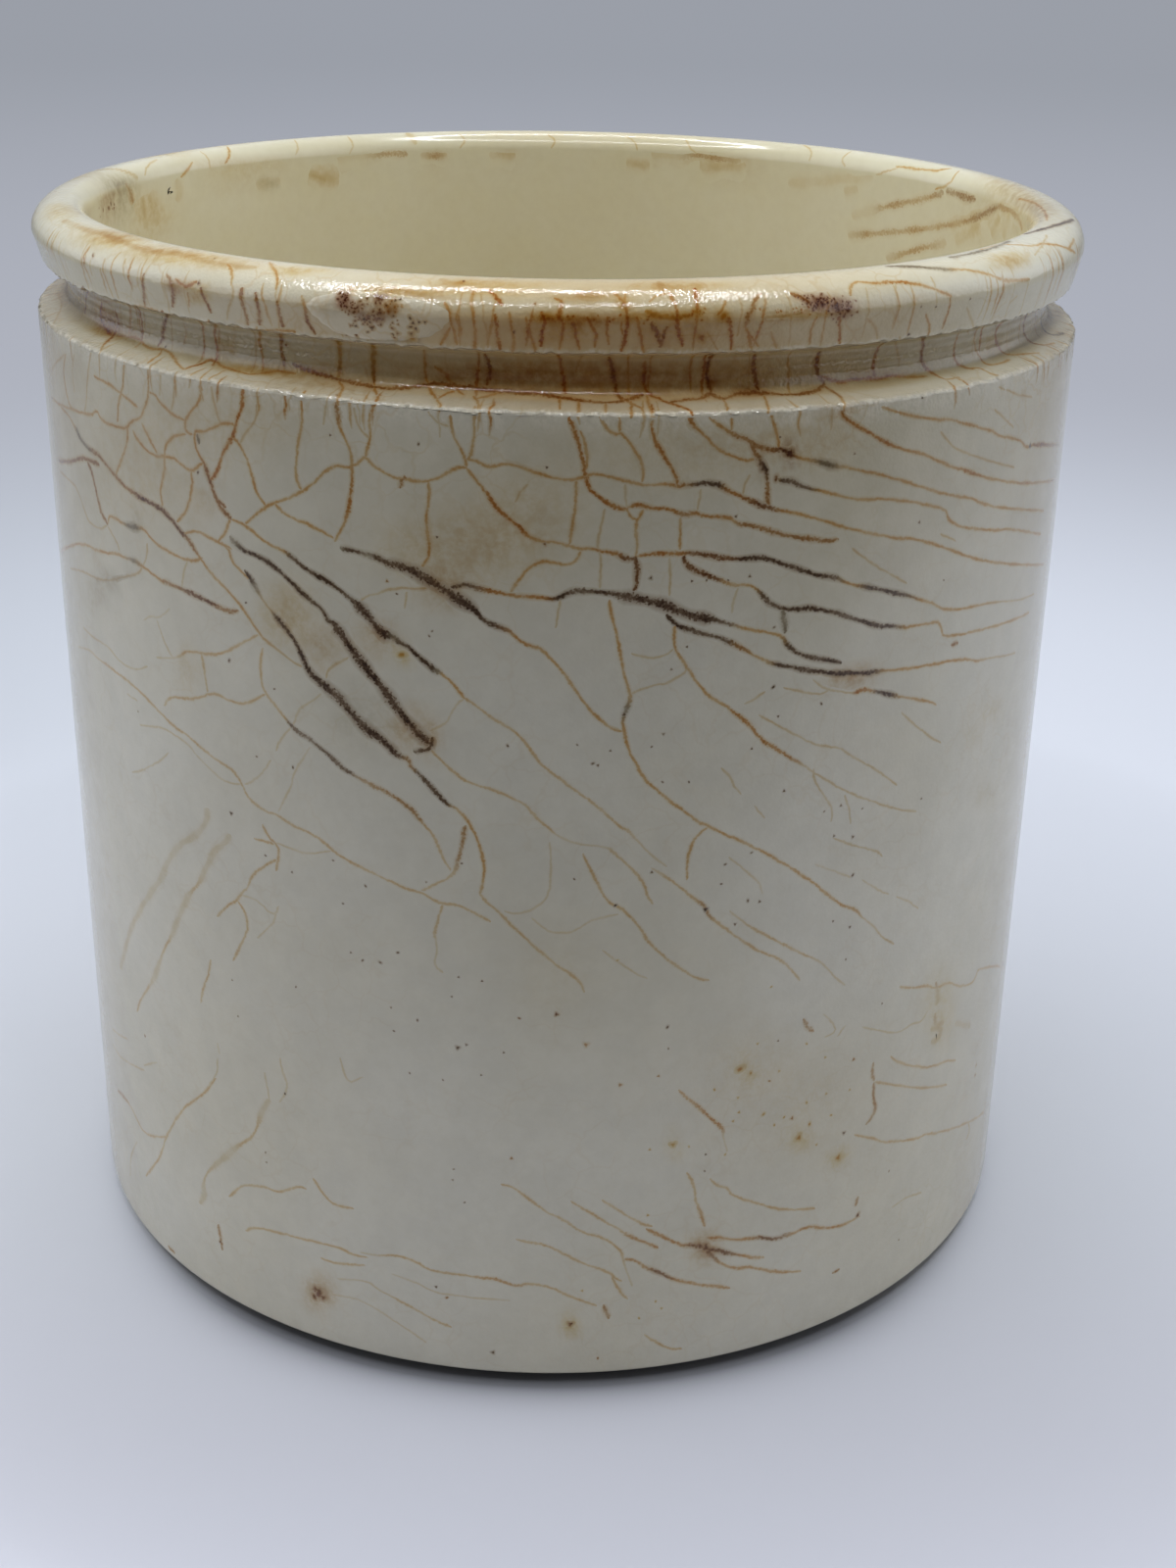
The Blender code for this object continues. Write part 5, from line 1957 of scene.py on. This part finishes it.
@dataclass(frozen=True)
class GlazeRun:
    """A clear run of thick glaze: a flat, closed lens with a steep edge that stands on the skin."""

    surface: JarSurface
    stains_and_shade: AgeStainAndShade
    middle: Array
    half: Array
    height: float = 0.11
    depth: float = 0.12
    sunk: float = 0.006
    steepness: float = 14.0
    clearness: float = 0.5
    rings: int = 16
    sides: int = 120

    @classmethod
    def picked(cls, surface: JarSurface, stains_and_shade: AgeStainAndShade, camera: PhotoCamera) -> "GlazeRun":
        """Return the run whose four edges lie at their picked pixels.

        Args:
            surface: The skin.
            stains_and_shade: The stains, yellowing and painted shade under the run.
            camera: The camera in whose view the edges were picked.

        Returns:
            The run of glaze.
        """
        along, angle = surface.trace(camera, np.array(RUN_EDGES))
        middle = np.array([(along[2] + along[3]) / 2.0, (angle[0] + angle[1]) / 2.0])
        half = np.array([(along[3] - along[2]) / 2.0, (angle[1] - angle[0]) / 2.0])
        return cls(surface, stains_and_shade, middle, half)

    def rise(self, along: Array, angle: Array) -> Array:
        """Return how far the run stands over the skin at each place; beside it, nothing."""
        r = np.hypot((along - self.middle[0]) / self.half[0],
                     (angle - self.middle[1]) / self.half[1])
        return self.height * np.clip(1.0 - r ** self.steepness, 0.0, 1.0)

    def build(self, material: Material) -> Piece:
        """Build the lens as a function of (r, turn), with r from 0 at its middle to 1 at its edge.

        The edge wavers with the turn. The height is (1 - r^steepness) of the full height, and
        one point under the skin closes the lens below.

        Args:
            material: Finish of the lens.

        Returns:
            The finished piece.
        """
        r, turn = np.meshgrid(1.0 - np.linspace(1.0, 0.0, self.rings + 1)[1:] ** 2,
                              np.arange(self.sides) * (FULL_TURN / self.sides), indexing="ij")
        waver = (1.0 + 0.035 * np.cos(3.0 * turn + 1.0) + 0.03 * np.cos(5.0 * turn + 2.0)
                 + 0.012 * np.cos(17.0 * turn))
        heading = np.stack([np.sin(turn), np.cos(turn)], axis=-1)
        places = self.middle + self.half * (r * waver)[..., None] * heading
        places = np.concatenate([places.reshape(-1, 2), [self.middle, self.middle]])
        lift = (self.height * (1.0 - r ** self.steepness) - self.sunk).ravel()
        lift = np.concatenate([lift, [self.height, -self.depth]])
        points, normals = self.surface.skin(places[:, 0], places[:, 1])
        ring = np.arange(self.sides)
        after = np.roll(ring, -1)
        top, foot = self.rings * self.sides, self.rings * self.sides + 1
        last = top - self.sides
        low = np.arange(0, last, self.sides)[:, None]
        high = low + self.sides
        quads = np.stack([low + ring, low + after, high + after, high + ring], axis=-1)
        faces = quads.reshape(-1, 4).tolist()
        faces += np.stack([np.full_like(ring, top), after, ring], axis=1).tolist()
        faces += np.stack([np.full_like(ring, foot), last + ring, last + after], axis=1).tolist()
        outward = points - points[-2]
        reach = np.linalg.norm(outward, axis=1, keepdims=True) + 1e-6
        fall = (self.steepness * r ** self.steepness * self.height).ravel()
        fall = np.concatenate([fall, [0.0, 0.0]])[:, None]
        tilted = normals + outward / reach * (fall / reach)
        tilted = tilted / np.linalg.norm(tilted, axis=1, keepdims=True)
        tilted[-1] = -normals[-1]
        tone = self.stains_and_shade.at(places[:, 0], places[:, 1])
        tone = SkinTone(tone.stain, tone.age ** self.clearness, tone.craze,
                        np.zeros_like(tone.wear))
        points = points + normals * lift[:, None]
        return MeshParts(points, tilted, faces, tone).build("glaze_run", material)


@dataclass(frozen=True)
class Studio:
    """Pale floor with painted shade, a painted shadow and a painted far glow, a ring light overhead
    and soft light from the room.
    """

    floor_radius: float = 3000.0
    ring_radius: float = 256.0
    ring_place: tuple[float, float, float] = (-42.0, -128.0, 593.0)
    ring_lamps: int = 72
    ring_watts: float = 16.1
    ring_front: float = 0.71
    ring_colour: Colour = (0.95, 0.985, 1.07)
    lamp_radius: float = 8.0
    side_glow: float = 1.456
    back_glow: float = 0.343
    # Painted shade: the paper in front of the jar is darker than the paper behind it
    paper_front_painted_shade: Colour = (0.62, 0.625, 0.664)
    paper_back: Colour = (0.719, 0.742, 0.78)
    # Painted shade on the paper behind the jar, towards the left
    paper_back_left_painted_shade: Colour = (0.60, 0.625, 0.655)
    # Painted shadow on the paper round the jar's base: its colour, deepest share, fall and reach
    painted_shadow: Colour = (0.02, 0.02, 0.02)
    painted_shadow_share: float = 0.68
    painted_shadow_fall: float = -550.0
    painted_shadow_reach: float = 26.0
    table: Colour = (0.10, 0.10, 0.10)
    # Painted light: the glow that the camera sees on the far floor, lighter near the jar, darker
    # far off
    painted_glow_near: Colour = (0.43, 0.45, 0.515)
    painted_glow_far: Colour = (0.325, 0.345, 0.39)
    backdrop: Colour = (0.33, 0.35, 0.395)

    def build(self) -> None:
        """Build the floor, the lamps and the room's light."""
        self.build_floor()
        self.build_ring()
        self.build_room()

    def build_floor(self) -> None:
        """Build a flat disc: rings of points at growing distances."""
        turns, rings, innermost = 96, 24, 20.0
        radii = np.geomspace(innermost, self.floor_radius, rings)
        angle = np.arange(turns) * (FULL_TURN / turns)
        points = np.stack([np.outer(radii, np.sin(angle)), np.outer(radii, np.cos(angle)),
                           np.zeros((len(radii), turns))], axis=-1).reshape(-1, 3)
        points = np.concatenate([points, np.zeros((1, 3))]) * MM
        first = np.arange(len(radii) * turns).reshape(len(radii), turns)
        right = np.roll(first, -1, axis=1)
        quads = np.stack([first[:-1], right[:-1], right[1:], first[1:]], axis=-1).reshape(-1, 4)
        fan = np.stack([np.full(turns, len(points) - 1), right[0], first[0]], axis=1)
        mesh = bpy.data.meshes.new("floor")
        mesh.from_pydata(points.tolist(), [], quads.tolist() + fan.tolist())
        mesh.materials.append(self.floor_material())
        floor = bpy.data.objects.new("floor", mesh)
        bpy.context.scene.collection.objects.link(floor)

    def floor_material(self) -> Material:
        """Make matt white paper with painted shade in front and behind on the left, and a painted
        shadow round the jar's base; far from the jar its look is set for the camera alone, as a
        painted glow.

        Returns:
            The material.
        """
        material = bpy.data.materials.new("pale_paper")
        material.use_nodes = True
        tree = Tree(material.node_tree)
        place = tree.add("TexCoord", out="Object")
        flat = tree.stretched(place, (1.0, 1.0, 0.0))
        reach = tree.add("VectorMath", flat, operation="LENGTH", out="Value")
        depth = tree.add("SeparateXYZ", place, out="Y")
        across = tree.add("SeparateXYZ", place, out="X")
        # Painted shade: the paper in front of the jar is darker than behind it
        paper = tree.mix(tree.ease(depth, -0.06, 0.0), (*self.paper_front_painted_shade, 1.0),
                         (*self.paper_back, 1.0))
        # Painted shade: the paper behind the jar is darkened towards the left
        painted_shade_back_left = tree.maths("MULTIPLY", tree.ease(depth, 0.02, 0.12), tree.ease(across, 0.02, -0.12))
        paper = tree.mix(painted_shade_back_left, paper, (*self.paper_back_left_painted_shade, 1.0))
        # Painted shadow: the paper is darkened in a thin band round the jar's base, fading within
        # millimetres outward and gone towards the sides
        level = tree.maths("ABSOLUTE", across)
        painted_shadow_weight = tree.maths("MULTIPLY_ADD", reach, self.painted_shadow_fall, self.painted_shadow_reach)
        painted_shadow_weight = tree.maths("MINIMUM", tree.maths("POWER", math.e, painted_shadow_weight), self.painted_shadow_share)
        shade = tree.maths("MULTIPLY", painted_shadow_weight, tree.ease(level, 0.050, 0.025))
        paper = tree.mix(shade, paper, (*self.painted_shadow, 1.0))
        camera_ray = tree.add("LightPath", out="Is Camera Ray")
        unseen = tree.maths("SUBTRACT", 1.0, camera_ray)
        table = tree.maths("MULTIPLY", tree.ease(depth, -0.085, -0.17), unseen)
        paper = tree.mix(table, paper, (*self.table, 1.0))
        # Painted light: far off, the camera sees the floor as a glow, lighter near the jar and
        # darker far away, in place of lit paper
        painted_glow = tree.mix(tree.ease(reach, 0.25, 1.3), (*self.painted_glow_near, 1.0), (*self.painted_glow_far, 1.0))
        seen = tree.maths("MULTIPLY", tree.ease(reach, 0.17, 0.42), camera_ray)
        tree.add("OutputMaterial", tree.add("MixShader", seen, tree.add("BsdfDiffuse", paper),
                                            tree.add("Emission", painted_glow, 1.0)))
        return material

    def build_ring(self) -> None:
        """Build the ring light as a circle of small lamps, dimmer on the camera's side."""
        angles = np.arange(self.ring_lamps) * (FULL_TURN / self.ring_lamps)
        shares = 1.0 + (1.0 - self.ring_front) * np.cos(angles)
        for angle, share in zip(angles, shares):
            data = bpy.data.lights.new("ring_lamp", "POINT")
            data.energy = self.ring_watts / self.ring_lamps * float(share)
            data.color = self.ring_colour
            data.shadow_soft_size = self.lamp_radius * MM
            lamp = bpy.data.objects.new("ring_lamp", data)
            lamp.location = ((self.ring_place[0] + self.ring_radius * math.sin(angle)) * MM,
                             (self.ring_place[1] + self.ring_radius * math.cos(angle)) * MM,
                             self.ring_place[2] * MM)
            bpy.context.scene.collection.objects.link(lamp)

    def build_room(self) -> None:
        """Build the room's soft light: dim in front of the jar, brighter beside and behind it."""
        world = bpy.data.worlds.new("room")
        bpy.context.scene.world = world
        world.use_nodes = True
        tree = Tree(world.node_tree)
        heading = tree.add("TexCoord", out="Generated")
        across = tree.maths("ABSOLUTE", tree.add("SeparateXYZ", heading, out="X"))
        depth = tree.add("SeparateXYZ", heading, out="Y")
        back = tree.maths("MULTIPLY", tree.maths("MAXIMUM", depth, 0.0), self.back_glow)
        glow = tree.maths("ADD", tree.ease(across, 0.65, 0.95, 0.0, self.side_glow), back)
        lit = tree.add("Background", (*self.ring_colour, 1.0), glow)
        seen = tree.add("Background", (*self.backdrop, 1.0), 1.0)
        is_seen = tree.add("LightPath", out="Is Camera Ray")
        tree.add("OutputWorld", tree.add("MixShader", is_seen, lit, seen))


# Height over the table at which the back's cracks are no longer bent
HEEL_TOP = 2.0


class MarmaladeJar:
    """The whole jar: its glazed body, its cracks and its spots."""

    def __init__(self, camera: PhotoCamera) -> None:
        """Work out the skin and the stains on it.

        Args:
            camera: The camera in whose view the cracks were picked.
        """
        self.camera = camera
        self.surface = JarSurface(TurnedForm())
        self.stains_and_shade = AgeStainAndShade.picked(self.surface, camera)
        low = self.surface.outline[-40:]
        self.heel = float(np.interp(-HEEL_TOP, -low[:, 1], self.surface.along[-40:]))

    def traced(self, strokes: Iterable[Stroke]) -> list[Route]:
        """Carry strokes from the view to the skin; points that miss it are left out.

        Args:
            strokes: The picked strokes.

        Returns:
            One course for each stroke that meets the skin twice or more.
        """
        routes = []
        for stroke in strokes:
            picks = read_stroke(stroke, 2)
            pixels = np.array([numbers for _, numbers in picks])
            along, angle = self.surface.trace(self.camera, pixels)
            good = np.flatnonzero(np.isfinite(along))
            if len(good) > 1:
                inks = tuple(picks[index][0] for index in good)
                routes.append(Route(along[good], angle[good], inks))
        return routes

    def turned_over(self, routes: list[Route]) -> list[Route]:
        """Work out the courses of the back: the front's, mirrored and bent.

        Args:
            routes: The front's courses; those that reach over the rim's crest are left out.

        Returns:
            The back's courses.
        """
        crest, crease = self.surface.crest_along, self.surface.shoulder_along
        return [route.mirrored(BACK_CENTRE, BACK_SPREAD, crease, self.heel) for route in routes
                if route.along.min() > crest + BACK_START]

    def elsewhere(self, routes: list[Route]) -> list[Route]:
        """Return the courses of the back and the two sides, made from the front's."""
        return self.turned_over(routes) + self.at_the_sides(routes)

    def hairlines(self) -> list[Route]:
        """Draw hairlines down the rim's face, the neck and the shoulder's edge.

        Returns:
            Their courses, all round the jar.
        """
        draw = np.random.default_rng(41)
        crest, crease = self.surface.crest_along, self.surface.shoulder_along
        found = []
        for count, top, foot in ((150, crest + 2.6, crest + 7.0), (70, crest + 7.6, crease - 1.6),
                                 (110, crease - 1.8, crease + 2.2)):
            for start in np.sort(draw.uniform(0.0, FULL_TURN, count)):
                reach = draw.uniform(0.45, 1.0)
                share = draw.uniform(0.0, 1.0 - reach) + reach * np.linspace(0.0, 1.0, 5)
                lean = draw.normal(0.0, 0.008) * share + draw.normal(0.0, 0.0012, 5)
                ink = (FAINT, FAINT, AMBER, AMBER, RUST)[draw.integers(0, 5)]
                inks = (FAINT, ink, ink, ink, FAINT)
                found.append(Route(top + (foot - top) * share, start + lean, inks))
        return found

    def at_the_sides(self, routes: list[Route]) -> list[Route]:
        """Fill the two sides between the front's courses and the back's.

        Args:
            routes: The front's courses.

        Returns:
            Stretches of them, mirrored and cut at random angles.
        """
        crease = self.surface.shoulder_along
        draw = np.random.default_rng(53)
        found = []
        for centre, spread in ((1.6, 1.0), (-1.52, -1.0)):
            for route in routes:
                front = centre - spread * draw.uniform(0.08, 0.27)
                back = centre + spread * draw.uniform(0.08, 0.6)
                turned = route.mirrored(centre, spread, crease, self.heel)
                part = turned.within(min(front, back), max(front, back))
                if part is not None:
                    found.append(part)
        return found

    def spots(self) -> list[tuple[Ink, float, float, float]]:
        """Gather every spot and grain, with a mirrored set at the back.

        Returns:
            Rows of (ink, along, angle, radius in millimetres).
        """
        scatter = SpotScatter(self.surface, self.stains_and_shade)
        picks = [pair for stroke in SPOTS for pair in read_stroke(stroke, 3)]
        pixels = np.array([numbers[:2] for _, numbers in picks])
        along, angle = self.surface.trace(self.camera, pixels)
        found = [(ink, float(a), float(t), numbers[2] * scatter.mm_per_px * scatter.spread)
                 for (ink, numbers), a, t in zip(picks, along, angle) if math.isfinite(a)]
        draw = np.random.default_rng(43)
        grains = [pair for stroke in GRAINS for pair in read_stroke(stroke, 5)]
        for ink, (x, y, wide, high, count) in grains:
            scatter_px = draw.normal(0.0, 0.5, (int(count), 2)) * np.array([wide, high])
            places = np.array([x, y]) + scatter_px
            sizes = draw.uniform(0.10, 0.30, int(count))
            along, angle = self.surface.trace(self.camera, places)
            found += [(ink, float(a), float(t), float(size))
                      for a, t, size in zip(along, angle, sizes) if math.isfinite(a)]
        start = self.surface.crest_along + BACK_START
        return found + [(ink, a, BACK_CENTRE + BACK_SPREAD * t, size)
                        for ink, a, t, size in found if a > start]

    def build(self) -> None:
        """Build the body, the cracks of the wall and the collar, and the spots."""
        finish = GlazeFinish()
        plain = finish.material("cream_glaze", inked=False)
        JarBody(self.surface, self.stains_and_shade).build(plain)
        run = GlazeRun.picked(self.surface, self.stains_and_shade, self.camera)
        run.build(plain)
        GlazeBeads(self.surface, self.stains_and_shade).build(plain)
        inked = finish.material("crazed_glaze", inked=True)
        upper = self.traced(UPPER_LEFT + UPPER_CENTRE + UPPER_RIGHT)
        lower = self.traced(MIDDLE + BOTTOM)
        wall = upper + lower
        collar = self.traced(COLLAR_LEFT + COLLAR_FRONT + COLLAR_RIGHT)
        inside = self.traced(INSIDE)
        coarse = CrackNetwork(self.surface, self.stains_and_shade, 0.4, 3, 1.0, 31)
        pale = CrackNetwork(self.surface, self.stains_and_shade, 0.4, 3, 1.0, 35, strength=0.62)
        fine = CrackNetwork(self.surface, self.stains_and_shade, 0.14, 7, 1.5, 32)
        soft = CrackNetwork(self.surface, self.stains_and_shade, 0.3, 5, 1.2, 33, breadth=1.7, strength=0.42)
        coarse.build("cracks_wall_front", upper, inked)
        pale.build("cracks_wall_low_front", lower, inked)
        coarse.build("cracks_wall_back", self.elsewhere(wall), inked)
        fine.build("cracks_collar_front", collar, inked)
        fine.build("cracks_collar_back", self.elsewhere(collar), inked)
        soft.build("cracks_inside", inside, inked)
        hair = CrackNetwork(self.surface, self.stains_and_shade, 0.16, 5, 1.4, 34, breadth=0.85, strength=0.8)
        hair.build("cracks_collar_hairlines", self.hairlines(), inked)
        SpotScatter(self.surface, self.stains_and_shade).build("spots", self.spots(), run, inked)


def main() -> None:
    """Build the camera, the jar and the studio, and report each piece."""
    logging.basicConfig(level=logging.INFO, format="%(name)s: %(message)s")
    bpy.context.scene.view_settings.view_transform = "Standard"
    camera = PhotoCamera()
    camera.build()
    MarmaladeJar(camera).build()
    Studio().build()


if __name__ == "__main__":
    main()
